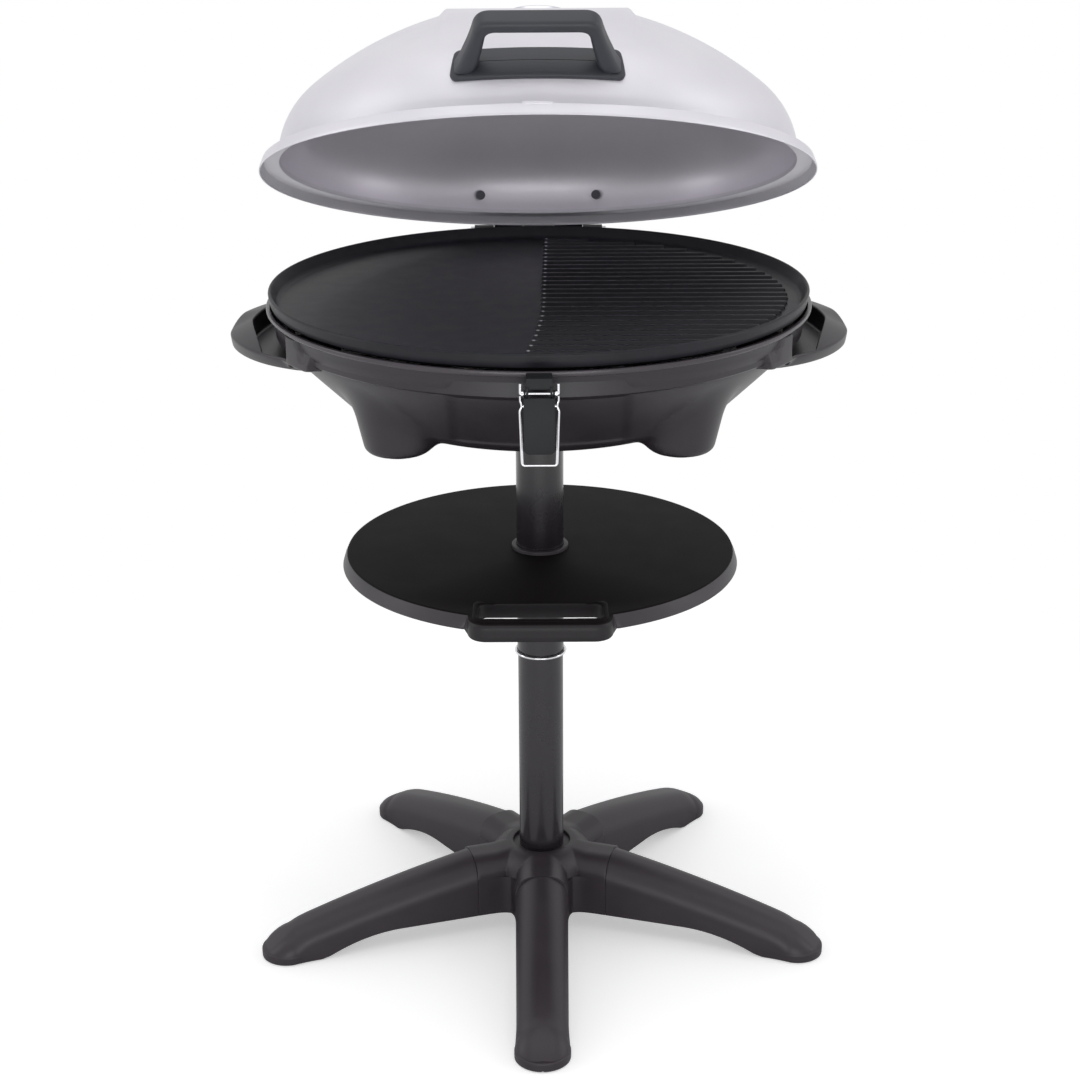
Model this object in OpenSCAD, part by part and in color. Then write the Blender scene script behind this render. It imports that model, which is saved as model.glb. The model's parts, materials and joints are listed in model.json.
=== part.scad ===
/* [Stand base] */
// Radius of the circle through the feet
foot_circle_r = 239.4; // [200:1:280]
// Radius of the round end of a leg
foot_end_r = 23.5; // [23:0.5:26]
// Number of legs
leg_count = 5; // [5:1:5]
// Radius from the column to the seam between hub and leg
seam_r = 68; // [66:1:76]
// Width of a leg at the seam
leg_w_hub = 46.8; // [44:1:48]
// Width of a leg at the foot
leg_w_foot = 43.4; // [40:1:46]
// Height of a leg's ridge at the seam
leg_top_hub = 73; // [68:1:80]
// Height of a leg's ridge above the foot
leg_top_foot = 27; // [24:1:34]
// Extra drop of the ridge that bows it
leg_bow = 11.7; // [6:1:16]
// Height of the underside of hub and leg
leg_underside = 19; // [14:1:22]
// Wall of the moulded legs
leg_wall = 3; // [2.5:0.5:4]
// Height of the hub at the column
hub_top = 75; // [72:1:82]
// Radius of the hub's round middle
hub_r = 46; // [43:1:50]
// Depth that the column stands in the hub
hub_socket = 46; // [36:1:48]
// Gap between a leg skirt and the floor
skirt_gap = 1; // [0.8:0.2:1.6]
// Radius of a foot pad
pad_r = 17; // [14:0.5:18]
// Thickness of a foot pad
pad_h = 6; // [5:0.5:8]

/* [Column] */
// Outer radius of the lower tube
lower_r = 20; // [18:0.5:20]
// Outer radius of the upper tube
upper_r = 20.5; // [20:0.5:22]
// Wall of both tubes
tube_wall = 1.5; // [1.2:0.1:2]
// Height of the joint between the tubes
joint_z = 264; // [240:1:280]
// Wire radius of the ring at the joint
ring_wire = 1.5; // [1.3:0.1:2]
// Height of the top of the upper tube
column_top = 541; // [535:1:545]

/* [Tray] */
// Height of the tray's top face
tray_z = 362; // [345:1:380]
// Radius of the tray's top face
tray_r = 167.2; // [150:1:180]
// Flare of the tray's skirt
tray_flare = 4.4; // [2:0.2:6]
// Height of the tray's skirt
tray_skirt = 12; // [10:1:16]
// Thickness of the tray's plate
tray_wall = 3; // [2.5:0.5:4]
// Width of the tray's handle
tray_grip_w = 115; // [100:1:124]
// Reach of the tray's handle from the column
tray_grip_reach = 178; // [175:1:190]
// Height of the tray's handle bar
tray_grip_h = 16; // [14:1:18]
// Width of the slot behind the handle bar
slot_w = 97; // [84:1:100]
// Depth of that slot
slot_d = 33; // [26:1:36]

/* [Bowl] */
// Radius of the bowl's rim
bowl_r = 227; // [226:0.5:230]
// Height of the bowl's rim
bowl_rim_z = 584; // [583:0.5:584.5]
// Height of the bowl's underside
bowl_floor_z = 491.5; // [488:0.5:494]
// Wall of the bowl
bowl_wall = 2.8; // [2.4:0.2:3.4]
// Radius where the bowl's flat bottom ends
bowl_floor_r = 126; // [118:1:132]
// Reach of a carrying handle from the middle
ear_reach = 259; // [254:1:264]
// Half angle that a carrying handle spans on the bowl
ear_span = 34.5; // [32:0.5:36]
// Width of a carrying handle's bar
ear_bar = 19; // [17:1:21]
// Height of the underside of the handles
ear_z = 547; // [545:0.5:548]
// Radius of the circle through the four stub feet
stub_circle_r = 160; // [155:1:164]
// Radius of a stub foot at its bottom
stub_r = 26.5; // [24:0.5:28]
// Height of a stub foot's underside
stub_z = 486.5; // [485:0.5:489]

/* [Grill plate] */
// Outer radius of the plate
plate_r = 225; // [224:0.5:225.5]
// Height of the plate's rim
plate_top = 597; // [596:0.5:598]
// Height of the cooking face
plate_face_z = 587; // [586.5:0.5:588]
// Height of the plate's skirt underside
plate_skirt_z = 585.5; // [585.2:0.1:586]
// Thickness under the cooking face
plate_wall = 5; // [4.5:0.5:5.5]
// Distance from rib to rib
rib_pitch = 15; // [14:0.5:20]
// Width of a rib at its foot
rib_w = 7; // [5:0.5:9]
// Height of a rib
rib_h = 2.4; // [1.5:0.1:3]

/* [Lid] */
// Radius of the lid's rim
lid_r = 230; // [229.5:0.5:232]
// Height of the step above the rim
lid_step = 9.4; // [9.3:0.1:10.5]
// Radius of the dome where it meets the step
dome_r = 214.3; // [212:0.5:216]
// Radius of the dome's shoulder arc
shoulder_r = 68.3; // [64:0.5:72]
// Height of the shoulder arc's centre
shoulder_z = 11.7; // [10:0.5:13]
// Radius of the dome's crown
crown_r = 287; // [270:1:310]
// Thickness of the lid's sheet
lid_wall = 1.2; // [1:0.1:1.8]
// Half width of the raised panel on the lid
panel_half = 71.5; // [60:0.5:76]
// Drop of the panel below the crown
panel_drop = 5.2; // [4.6:0.2:6]
// Angle that the lid stands open at rest
lid_open = 22; // [10:1:40]

/* [Lid hinge] */
// Distance of the hinge axis behind the bowl's rim
hinge_back = 20.5; // [19:0.5:22]
// Height of the hinge axis
hinge_z = 586.5; // [585:0.5:588]
// Radius of the hinge pin
hinge_pin_r = 3; // [2.5:0.5:3.5]
// Outer radius of the hinge knuckles
knuckle_r = 6.5; // [6:0.5:7]
// Half width of the hinge
hinge_half = 60; // [56:1:64]

/* [Latch] */
// Distance of the latch pin in front of the bowl's rim
latch_front = 12.5; // [12:0.5:14]
// Height of the latch pin
latch_z = 571; // [570:0.5:572]
// Width of the latch lever
lever_w = 23; // [22:0.5:24]
// Length of the latch lever below its pin
lever_len = 45; // [38:1:48]
// Radius of the latch pin
latch_pin_r = 1.25; // [1:0.05:1.5]
// Distance from the latch pin down to the bail's pivot
bail_drop = 9.6; // [9:0.1:11]
// Length of the bail from pivot to bar
bail_len = 46; // [44:1:50]
// Radius of the bail's wire
wire_r = 1.1; // [0.9:0.05:1.2]

/* [Clearances] */
// Radial clearance of a pin that turns
run_gap = 0.06; // [0.03:0.01:0.09]
// Clearance between pieces that are fitted once
fit_gap = 0.1; // [0.05:0.01:0.15]
// Clearance between pieces that move past each other
move_gap = 0.3; // [0.25:0.05:0.35]

/* [Hidden] */
$fn = 96;

// Facets of a hull's children and of small parts
fine = 32;
big = 1000;
eps = 0.01;

// ---- legs and hub ----
leg_step = 360 / leg_count;
front_angle = -90;
tongue_w = 26;
tongue_h = 20;
tongue_len = 24;
tongue_z = leg_underside + 8;
screw_r = 2.2;
screw_head_r = 4;
screw_head_h = 2.6;
foot_reach = foot_circle_r + foot_end_r;
skirt_start = foot_circle_r - foot_end_r;
arch_rise = 17;

// ---- column ----
hub_floor_z = hub_top - hub_socket;
lower_in = lower_r - tube_wall;
upper_in = upper_r - tube_wall;
lower_top = joint_z;
upper_bottom = joint_z + ring_wire + move_gap;
plug_h = 14;
bolt_r = 4;
spigot_half = 30;
cap_t = 2.5;
cap_top = column_top + cap_t;

// ---- tray ----
tray_bottom = tray_z - tray_skirt;
bush_wall = 4;
bush_r = upper_r + run_gap + bush_wall;
bush_flange_r = bush_r + 6;
bush_bottom = tray_bottom - 6;
support_h = 16;
support_r = 30;
support_top = bush_bottom - move_gap;
grip_corner = 14;
slot_corner = 6;

// ---- bowl: outer profile as [radius, height] ----
bead_h = 4;
wall_r = bowl_r - 4.4;
wall_z = bowl_rim_z - 24;
cone_top_r = wall_r - 15.6;
cone_bottom_r = bowl_floor_r + 38;
cone_bottom_z = bowl_floor_z + 14.5;
bend_steps = 6;
function bend(k) = let (u = k / bend_steps)
  [cone_bottom_r * pow(1 - u, 2) + (bowl_floor_r + 16) * 2 * u * (1 - u) + bowl_floor_r * u * u,
   cone_bottom_z * pow(1 - u, 2) + bowl_floor_z * 2 * u * (1 - u) + bowl_floor_z * u * u];
function bowl_outer(d = 0) = concat(
  [[0, bowl_rim_z], [bowl_r - d, bowl_rim_z], [bowl_r - d, bowl_rim_z - bead_h + 1],
   [bowl_r - 1.4 - d, bowl_rim_z - bead_h - 0.6], [wall_r + 1.2 - d, bowl_rim_z - bead_h - 0.6],
   [wall_r - d, bowl_rim_z - 10], [wall_r - 0.6 - d, wall_z], [wall_r - 3 - 0.9 * d, wall_z - 3.6 + 0.4 * d],
   [wall_r - 7.6 - 0.6 * d, wall_z - 6.6 + 0.8 * d], [cone_top_r - 0.6 * d, wall_z - 9.6 + 0.8 * d]],
  [for (k = [0:bend_steps]) bend(k) + [-d * 0.7, d * 0.72]],
  [[0, bowl_floor_z + d]]);
cavity_r = bowl_r - bowl_wall - 0.8;
ear_crease = 558.4;
ear_floor = 551;
ear_web = 25.6;
ear_root = 190;
ear_taper = 74;
ear_lip = 2.6;
stub_draft = 0.23;
stub_top_z = 540;
stub_round = 6;

// ---- stand socket inside the bowl ----
socket_in = upper_r + move_gap;
socket_wall = 4;
socket_r = socket_in + socket_wall;
socket_top = cap_top + move_gap + 4;
socket_flange_r = 44;
socket_flange_t = 4;

// ---- plate ----
plate_lip = 2.2;
plate_floor_r = plate_r - 8.5;
plate_under = plate_face_z - plate_wall;
plate_spigot_r = 214;
rib_end = plate_floor_r - 9;
rib_count = floor(2 * (plate_floor_r - 12) / rib_pitch);
rib_edge = 1.5;
rib_sweep = 10.5;
function rib_left(y) = rib_edge + (y < 0 ? -rib_sweep * pow(-y / 171, 2.2) : 2.5 * y / 190);
post_r = 6;
post_circle = wall_r - 22.6;
element_r = 3.25;
element_z = plate_under - element_r - 0.25;
element_outer = 150;
element_inner = 96;
element_end = wall_r - 26;
inlet_angle = 128;

// ---- lid ----
lid_rim_z = plate_top + move_gap + lid_wall - lid_step;
crown_h = shoulder_z - sqrt(pow(crown_r - shoulder_r, 2) - pow(dome_r - shoulder_r, 2)) + crown_r;
crown_zc = crown_h - crown_r;
shoulder_x = dome_r - shoulder_r;
join_angle = atan2(shoulder_z - crown_zc, shoulder_x);
ledge_r = lid_r - 2.6;
panel_front = 176;
panel_rear = 70;
panel_edge = 7;
panel_h = crown_h - panel_drop;
vent_r = 30;
vent_h = 6.5;
vent_gap = move_gap;
rivet_r = 3;

// ---- lid handle ----
grip_mid_angle = 29.5;
grip_low_angle = 16;
grip_high_angle = 39;
grip_base_t = 4;
grip_span = 17.6;
grip_height = 47.3;
grip_clear = 36.5;
grip_low = -10;
grip_depth = 16.4;
grip_half_low = 63.5;
grip_half_high = 51;
grip_open_low = 45.5;
grip_open_high = 41;
grip_screw_angle = 15.4;

// ---- hinge ----
hinge_y = bowl_r + hinge_back;
bracket_rear = hinge_y + 15.4;
bracket_low = 552;
bracket_top = 577.5;
hinge_bracket_spans = [[-hinge_half, -hinge_half + 18], [-14, 14], [hinge_half - 18, hinge_half]];
leaf_inner = 14 + 0.5;
leaf_outer = hinge_half - 18 - 0.5;
leaf_t = 3;
hinge_screw_x = 36;
hinge_screw_z = 563;
leaf_span = 18;

// ---- latch ----
latch_y = bowl_r + latch_front;
lever_t = 1.5;
lever_half = lever_w / 2;
ear_in = lever_half - 3.4;
ear_out = lever_half - lever_t - move_gap;
lever_face_y = latch_y + 3.6;
bail_z = latch_z - bail_drop;
bail_half_top = lever_half + 2.5;
bail_half_mid = lever_half + 2.9;
bail_half_low = lever_half + 1.6;
tail_len = 8;
pin_half = lever_half + 2.5;
pin_bend = 6.6;

// Outline of an arched section with two round shoulders, as [across, height]
arch_points = 7;
function arch(half, top, low) = let (rise = min(arch_rise, half * 0.96, (top - low) * 0.8)) concat(
  [[-half, low]],
  [for (k = [0:arch_points]) let (a = 180 - 90 * k / arch_points)
    [rise - half + rise * cos(a), top - rise + rise * sin(a)]],
  [for (k = [0:arch_points]) let (a = 90 - 90 * k / arch_points)
    [half - rise + rise * cos(a), top - rise + rise * sin(a)]],
  [[half, low]]);
function leg_u(s) = (s - seam_r) / (foot_circle_r - seam_r);
function leg_ridge(s) = leg_top_hub - (leg_top_hub - leg_top_foot - leg_bow) * leg_u(s)
  - leg_bow * pow(leg_u(s), 2);
function end_u(s) = min(0.999, max(0, (s - foot_circle_r) / foot_end_r));
function leg_half(s) = s < foot_circle_r
  ? leg_w_hub / 2 + (leg_w_foot - leg_w_hub) / 2 * leg_u(s)
    + (foot_end_r - leg_w_foot / 2) * pow(max(0, (s - skirt_start) / foot_end_r), 2)
  : foot_end_r * sqrt(1 - pow(end_u(s), 2));
function leg_top(s) = skirt_gap + (leg_ridge(s) - skirt_gap) * pow(1 - pow(end_u(s), 2.4), 0.62);
leg_run = skirt_start - seam_r;
leg_bend_s = seam_r + 0.453 * leg_run;
leg_lift = 5.5;
function leg_low(s) = s < leg_bend_s ? leg_underside
  : leg_underside - (leg_underside - leg_lift) * pow((s - leg_bend_s) / (skirt_start - leg_bend_s), 2);
body_stations = concat([seam_r + move_gap],
  [for (f = [0.15, 0.3, 0.453, 0.59, 0.7, 0.81, 0.91]) seam_r + f * leg_run], [skirt_start]);
foot_stations = [for (f = [-1, -0.74, -0.36, 0, 0.28, 0.54, 0.73, 0.87, 0.953, 0.995])
  foot_circle_r + f * foot_end_r];

// Closed solid through a list of rings of equal length, each ring a list of [x, y, z]
module loft(rings) {
  n = len(rings[0]);
  m = len(rings);
  polyhedron(
    points = [for (r = rings) for (p = r) p],
    faces = concat(
      [[for (i = [0:n - 1]) i]],
      [for (j = [0:m - 2]) for (i = [0:n - 1])
        [j * n + i, (j + 1) * n + i, (j + 1) * n + (i + 1) % n, j * n + (i + 1) % n]],
      [[for (i = [n - 1:-1:0]) (m - 1) * n + i]]),
    convexity = 6);
}

// Ring of the leg's section at distance s, shrunk by a wall
function leg_ring(s, wall, low) = [for (p = arch(leg_half(s) - wall, leg_top(s) - wall, low))
  [s, -p[0], p[1]]];

module leg_body() {
  difference() {
    union() {
      loft([for (s = body_stations) leg_ring(s, 0, leg_low(s))]);
      loft([for (s = foot_stations) leg_ring(s, 0, skirt_gap)]);
    }
    loft([for (s = [seam_r + 6, body_stations[2], body_stations[4], body_stations[6], skirt_start,
      foot_circle_r, foot_circle_r + 10.6, foot_reach - 5])
      leg_ring(min(s, foot_circle_r + foot_end_r * 0.84), leg_wall, -4)]);
  }
  // Boss that holds the foot pad
  intersection() {
    translate([foot_circle_r, 0, pad_h]) cylinder(r = 7, h = leg_top_foot, $fn = 64);
    loft([for (s = [for (i = [0, 2, 3, 4, 5]) foot_stations[i]]) leg_ring(s, leg_wall / 2, 0)]);
  }
  // Web and tongue that the hub holds
  translate([seam_r + 3, 0, tongue_z + tongue_h / 2]) cube([6, leg_w_hub - 5, tongue_h + 12], center = true);
  translate([seam_r - tongue_len, -tongue_w / 2, tongue_z]) cube([tongue_len + 3, tongue_w, tongue_h]);
}

module leg(k) {
  color("#3c383c") rotate([0, 0, front_angle + k * leg_step]) difference() {
    leg_body();
    translate([seam_r - tongue_len / 2, 0, tongue_z - 1])
      cylinder(r = screw_r + fit_gap, h = tongue_h * 0.7, $fn = fine);
    translate([foot_circle_r, 0, pad_h - 1]) cylinder(r = 2.5 + fit_gap, h = 11, $fn = fine);
  }
}

// Hub: a five-armed star whose arms and middle share one round shoulder
corner_angle = atan2(leg_w_hub / 2, seam_r);
spread = leg_step / 2 - corner_angle;
function hub_fan() = concat(
  [for (f = [1, 0.72, 0.5, 0.3, 0.12]) -corner_angle - f * spread],
  [for (f = [-1, -0.85, -0.6, -0.3, 0, 0.3, 0.6, 0.85, 1]) f * corner_angle],
  [for (f = [0.12, 0.3, 0.5, 0.72]) corner_angle + f * spread]);
function hub_edge(a) = abs(a) <= corner_angle + 0.001 ? seam_r / cos(a)
  : min(seam_r / cos(a), pow(pow(leg_w_hub / 2 / sin(abs(a)), 8) + pow(hub_r, 8), 1 / 8));
function hub_height(r, a) =
  let (inset = max(0, leg_w_hub / 2 - r * sin(abs(a)), hub_edge(leg_step / 2) - r),
    rise = min(arch_rise, inset), near = min(1, max(0, (hub_r - r) / 16)))
  leg_top_hub - arch_rise + sqrt(pow(arch_rise, 2) - pow(arch_rise - rise, 2))
    + (hub_top - leg_top_hub) * near * near * (3 - 2 * near);
function hub_ring(u, z) = [for (k = [0:leg_count - 1]) for (a = hub_fan())
  let (r = hub_edge(a) * u, turn = front_angle + k * leg_step + a)
  [r * cos(turn), r * sin(turn), z > 0 ? z : hub_height(r, a)]];

module hub() {
  color("#3c383c") difference() {
    loft(concat([hub_ring(1, leg_underside)],
      [for (u = [1, 0.985, 0.96, 0.925, 0.88, 0.82, 0.74, 0.64, 0.52, 0.4]) hub_ring(u, 0)],
      [hub_ring(0.3, hub_top)]));
    // Column socket with its ring recess
    translate([0, 0, hub_floor_z]) cylinder(r = lower_r + fit_gap, h = hub_top);
    translate([0, 0, hub_top - 3]) cylinder(r = 26, h = 10);
    translate([0, 0, leg_underside - 1]) cylinder(r = bolt_r + fit_gap, h = hub_top, $fn = fine);
    // Pocket for each leg's tongue, and the screw hole under it
    for (k = [0:leg_count - 1]) rotate([0, 0, front_angle + k * leg_step]) {
      translate([seam_r - tongue_len - fit_gap, -tongue_w / 2 - fit_gap, tongue_z - fit_gap])
        cube([tongue_len + 2, tongue_w + 2 * fit_gap, tongue_h + 2 * fit_gap]);
      translate([seam_r - tongue_len / 2, 0, leg_underside - 1])
        cylinder(r = screw_r + fit_gap, h = 12, $fn = fine);
    }
  }
}

module leg_screws() {
  color("silver") for (k = [0:leg_count - 1]) rotate([0, 0, front_angle + k * leg_step])
    translate([seam_r - tongue_len / 2, 0, leg_underside]) {
      translate([0, 0, -screw_head_h]) cylinder(r = screw_head_r, h = screw_head_h, $fn = fine);
      cylinder(r = screw_r, h = 18, $fn = fine);
    }
}

module foot_pads() {
  color("#222222") for (k = [0:leg_count - 1]) rotate([0, 0, front_angle + k * leg_step])
    translate([foot_circle_r, 0, 0]) {
      cylinder(r1 = pad_r - 1.2, r2 = pad_r, h = 1.2);
      translate([0, 0, 1.2]) cylinder(r = pad_r, h = pad_h - 1.2);
      cylinder(r = 2.5, h = pad_h + 9, $fn = fine);
    }
}

// ---- column ----
module tube(outer, inner, low, high) {
  translate([0, 0, low]) difference() {
    cylinder(r = outer, h = high - low);
    translate([0, 0, -1]) cylinder(r = inner, h = high - low + 2);
  }
}

module lower_column() {
  color("#2c292d") tube(lower_r, lower_in, hub_floor_z, lower_top);
}

module upper_column() {
  color("#2c292d") tube(upper_r, upper_in, upper_bottom, column_top);
}

module hub_plug() {
  color("#444444") difference() {
    translate([0, 0, hub_floor_z]) cylinder(r = lower_in - fit_gap, h = plug_h);
    translate([0, 0, hub_floor_z - 1]) cylinder(r = bolt_r + fit_gap, h = plug_h + 2, $fn = fine);
  }
}

module hub_bolt() {
  color("silver") {
    translate([0, 0, leg_underside - 5]) cylinder(r = 7.5, h = 5, $fn = 6);
    translate([0, 0, leg_underside - 5]) cylinder(r = bolt_r, h = hub_floor_z + plug_h - leg_underside + 9, $fn = fine);
    translate([0, 0, hub_floor_z + plug_h]) cylinder(r = 7, h = 6, $fn = 6);
  }
}

module joint_spigot() {
  color("#444444") difference() {
    union() {
      translate([0, 0, joint_z - spigot_half]) cylinder(r = lower_in - fit_gap, h = spigot_half);
      translate([0, 0, joint_z]) cylinder(r = upper_in - fit_gap, h = spigot_half);
    }
    translate([0, 0, joint_z - spigot_half - 1]) cylinder(r = lower_in - 3, h = 2 * spigot_half + 2);
  }
}

module ring_clip() {
  color("silver") translate([0, 0, joint_z]) rotate_extrude()
    translate([lower_r + fit_gap + ring_wire, 0]) circle(r = ring_wire, $fn = fine);
}

module column_cap() {
  color("#333333") {
    translate([0, 0, column_top]) cylinder(r = upper_r - 0.4, h = cap_t);
    translate([0, 0, column_top - 10]) cylinder(r = upper_in - fit_gap, h = 10);
  }
}

module tray_support() {
  color("#333333") difference() {
    translate([0, 0, support_top - support_h]) union() {
      cylinder(r1 = support_r - 4, r2 = support_r, h = 4);
      translate([0, 0, 4]) cylinder(r = support_r, h = support_h - 4);
    }
    translate([0, 0, support_top - support_h - 1]) cylinder(r = upper_r + fit_gap, h = support_h + 2);
    translate([0, 0, support_top - support_h / 2]) rotate([-90, 0, 0])
      cylinder(r = screw_r + fit_gap, h = support_r + 1, $fn = fine);
  }
}

module support_screw() {
  color("silver") translate([0, 0, support_top - support_h / 2]) rotate([-90, 0, 0]) {
    translate([0, 0, upper_r + fit_gap]) cylinder(r = screw_r, h = support_r - upper_r, $fn = fine);
    translate([0, 0, support_r]) cylinder(r = screw_head_r, h = 3, $fn = fine);
  }
}

// ---- tray ----
module grip_outline(w, reach, corner, from) {
  difference() {
    translate([-w / 2, -reach]) square([w, reach - from]);
    for (side = [-1, 1]) translate([side * w / 2, -reach]) mirror([side < 0 ? 0 : 1, 0]) difference() {
      translate([-1, -1]) square(corner + 1);
      translate([corner, corner]) circle(r = corner, $fn = 64);
    }
  }
}

module slot_outline(w, d, corner) {
  square([w - 2 * corner, d], center = true);
  square([w, d - 2 * corner], center = true);
  for (x = [-1, 1], y = [-1, 1]) translate([x * (w / 2 - corner), y * (d / 2 - corner)])
    circle(r = corner, $fn = fine);
}

module tray() {
  lip = 6;
  slot_y = -(tray_grip_reach - 11 - slot_d / 2);
  color("#232022") difference() {
    union() {
      translate([0, 0, tray_bottom]) cylinder(r1 = tray_r + tray_flare, r2 = tray_r, h = tray_skirt, $fn = 180);
      translate([0, 0, tray_z - tray_grip_h]) linear_extrude(tray_grip_h)
        grip_outline(tray_grip_w, tray_grip_reach, grip_corner, tray_r - 25);
      // Raised lip round the slot
      translate([0, slot_y, tray_z - eps]) linear_extrude(1.2)
        slot_outline(slot_w + 2 * lip, slot_d + lip, slot_corner + lip / 2);
    }
    // Hollow underside
    difference() {
      translate([0, 0, tray_bottom - 10]) cylinder(r1 = tray_r + tray_flare - tray_wall + 3, r2 = tray_r - tray_wall,
        h = tray_skirt + 10 - tray_wall, $fn = 180);
      translate([0, 0, tray_bottom - 5]) cylinder(r = bush_flange_r + 4, h = tray_skirt + 10);
      translate([0, slot_y, tray_bottom - 20]) linear_extrude(60)
        slot_outline(slot_w + 2 * tray_wall, slot_d + 2 * tray_wall, slot_corner + tray_wall);
      for (a = [30:60:330]) rotate([0, 0, a]) translate([30, -1.2, tray_z - 9]) cube([tray_r - 34, 2.4, 10]);
    }
    translate([0, slot_y, tray_bottom - 20]) linear_extrude(60) slot_outline(slot_w, slot_d, slot_corner);
    translate([0, 0, tray_bottom - 11]) cylinder(r = bush_r + fit_gap, h = 40);
    translate([0, 0, tray_bottom - 11]) cylinder(r = bush_flange_r + fit_gap, h = 11 + 3);
  }
}

module tray_bush() {
  color("#333333") difference() {
    union() {
      translate([0, 0, bush_bottom]) cylinder(r = bush_r, h = tray_z + 3 - bush_bottom);
      translate([0, 0, bush_bottom]) cylinder(r = bush_flange_r, h = tray_bottom + 3 - bush_bottom);
    }
    translate([0, 0, bush_bottom - 1]) cylinder(r = upper_r + run_gap, h = 60);
  }
}

// ---- bowl ----
// Outline of a handle at its crease, by the angle from the handle's middle
function ear_edge(a) = ear_reach - 0.05 * a * a - 3.5 * (1 - exp(-a * a / 64));
function ear_outer(a) = max(ear_edge(a), wall_r + 3.4 - 0.25 * max(0, abs(a) - 28));
function ear_draft(a) = min(ear_outer(a) - ear_root - 10, 1.5 + 0.0155 * a * a + 3.3 * max(0, abs(a) - 24.4));
function ear_back(a) = let (u = min(1, max(0, -a / 8))) u * u * (3 - 2 * u);
function ear_top(a) = ear_crease + 6.4 * ear_back(a);
function ear_slope(a) = 0.5 - 0.28 * ear_back(a);
function ear_inner(a) = let (y = abs(ear_edge(a) * sin(a)))
  min(ear_outer(a) - ear_lip, (ear_reach - ear_bar - 16 * pow(min(y, ear_taper) / ear_taper, 1.35)) / cos(a));
function ear_fade(a) = min(1, max(0, (ear_span - abs(a)) / 3));

// Section of a handle at angle a: the bar, its pocket and its floor, or the solid web beside it
function ear_section(a, web) = let (t = ear_outer(a), b = t - ear_draft(a), inner = ear_inner(a), f = ear_fade(a),
    c = ear_top(a), rise = c + ear_slope(a) * (t - 1.2 - inner), sink = (1 - f) * 5) concat(
  [[b - sink, ear_z], [b + 0.52 * (t - b) - sink, ear_z + 4], [b + 0.84 * (t - b) - sink, ear_z + 7.5],
   [t - sink, c - 1.4]],
  web ? [[t + 0.1 - sink, c + 3], [t + 0.2 - sink, 572], [t + 0.3 - sink, bowl_rim_z - bead_h - 1],
         [t - 8 - sink, bowl_rim_z - bead_h - 0.4], [ear_root + 12, bowl_rim_z - bead_h - 0.4]]
      : [[t - 1.2, c], [inner + 1, rise - 0.5], [inner, rise - 1.6], [inner - 0.8, ear_floor + 1.5],
         [inner - 2.4, ear_floor]],
  [[ear_root, web ? ear_floor + 6 : ear_floor], [ear_root, ear_z + 1]]);
function ear_place(side, a, p) = [side * p[0] * cos(a), -p[0] * sin(a), p[1]];
ear_stations = [-ear_span, -32.5, -31, -29, -27.4, -ear_web, -24, -21.5, -19, -16.5, -14, -11.5, -9, -6.5, -4, -1.5];

module ear(side) {
  angles = concat(ear_stations, [for (i = [len(ear_stations) - 1:-1:0]) -ear_stations[i]]);
  loft([for (a = side > 0 ? angles : [for (i = [len(angles) - 1:-1:0]) angles[i]])
    [for (p = ear_section(a, abs(a) > ear_web + 0.1)) ear_place(side, a, p)]]);
}

// Hollow under a handle's bar
module ear_hollow(side) {
  hollow_angles = side > 0 ? [-13, -9, -4.5, 0, 4.5, 9, 13] : [13, 9, 4.5, 0, -4.5, -9, -13];
  loft([for (a = hollow_angles) let (t = ear_outer(a), inner = ear_inner(a), c = ear_top(a), rise = c + ear_slope(a) * (t - inner))
    [for (p = [[t - ear_draft(a) - 2.8, ear_z - 1], [t - 3, c - 3], [inner + 2, rise - 3.8],
      [inner + 2, ear_z - 1]]) ear_place(side, a, p)]]);
}

module stub(k) {
  rotate([0, 0, 45 + 90 * k]) translate([stub_circle_r, 0, 0]) rotate_extrude() polygon(concat(
    [[0, stub_z]],
    [for (a = [-90:15:0]) [stub_r - stub_round + stub_round * cos(a), stub_z + stub_round + stub_round * sin(a)]],
    [[stub_r + stub_draft * (stub_top_z - stub_z), stub_top_z], [0, stub_top_z]]));
}

module bowl_solid() {
  rotate_extrude($fn = 180) polygon(bowl_outer());
}

// Room that the bowl takes up, for what is fixed on its outside
module bowl_room() {
  rotate_extrude($fn = 180) polygon(concat([[0, bowl_rim_z + 20], [bowl_r + fit_gap, bowl_rim_z + 20]],
    [for (p = bowl_outer()) if (p[0] > 1 && p[1] < bowl_rim_z - 1) [p[0] + fit_gap, p[1]]],
    [[0, bowl_floor_z]]));
}

module bowl_cavity(gap = 0) {
  rotate_extrude($fn = 180) polygon(concat(
    [[0, bowl_rim_z + 1], [cavity_r - gap, bowl_rim_z + 1], [cavity_r - gap, bowl_rim_z - 2]],
    [for (p = bowl_outer(bowl_wall + gap)) if (p[1] < bowl_rim_z - 8 && p[0] > 1) p],
    [[0, bowl_floor_z + bowl_wall + gap]]));
}

module inlet_place() {
  rotate([0, 0, inlet_angle]) translate([wall_r, 0, 560]) children();
}

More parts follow.
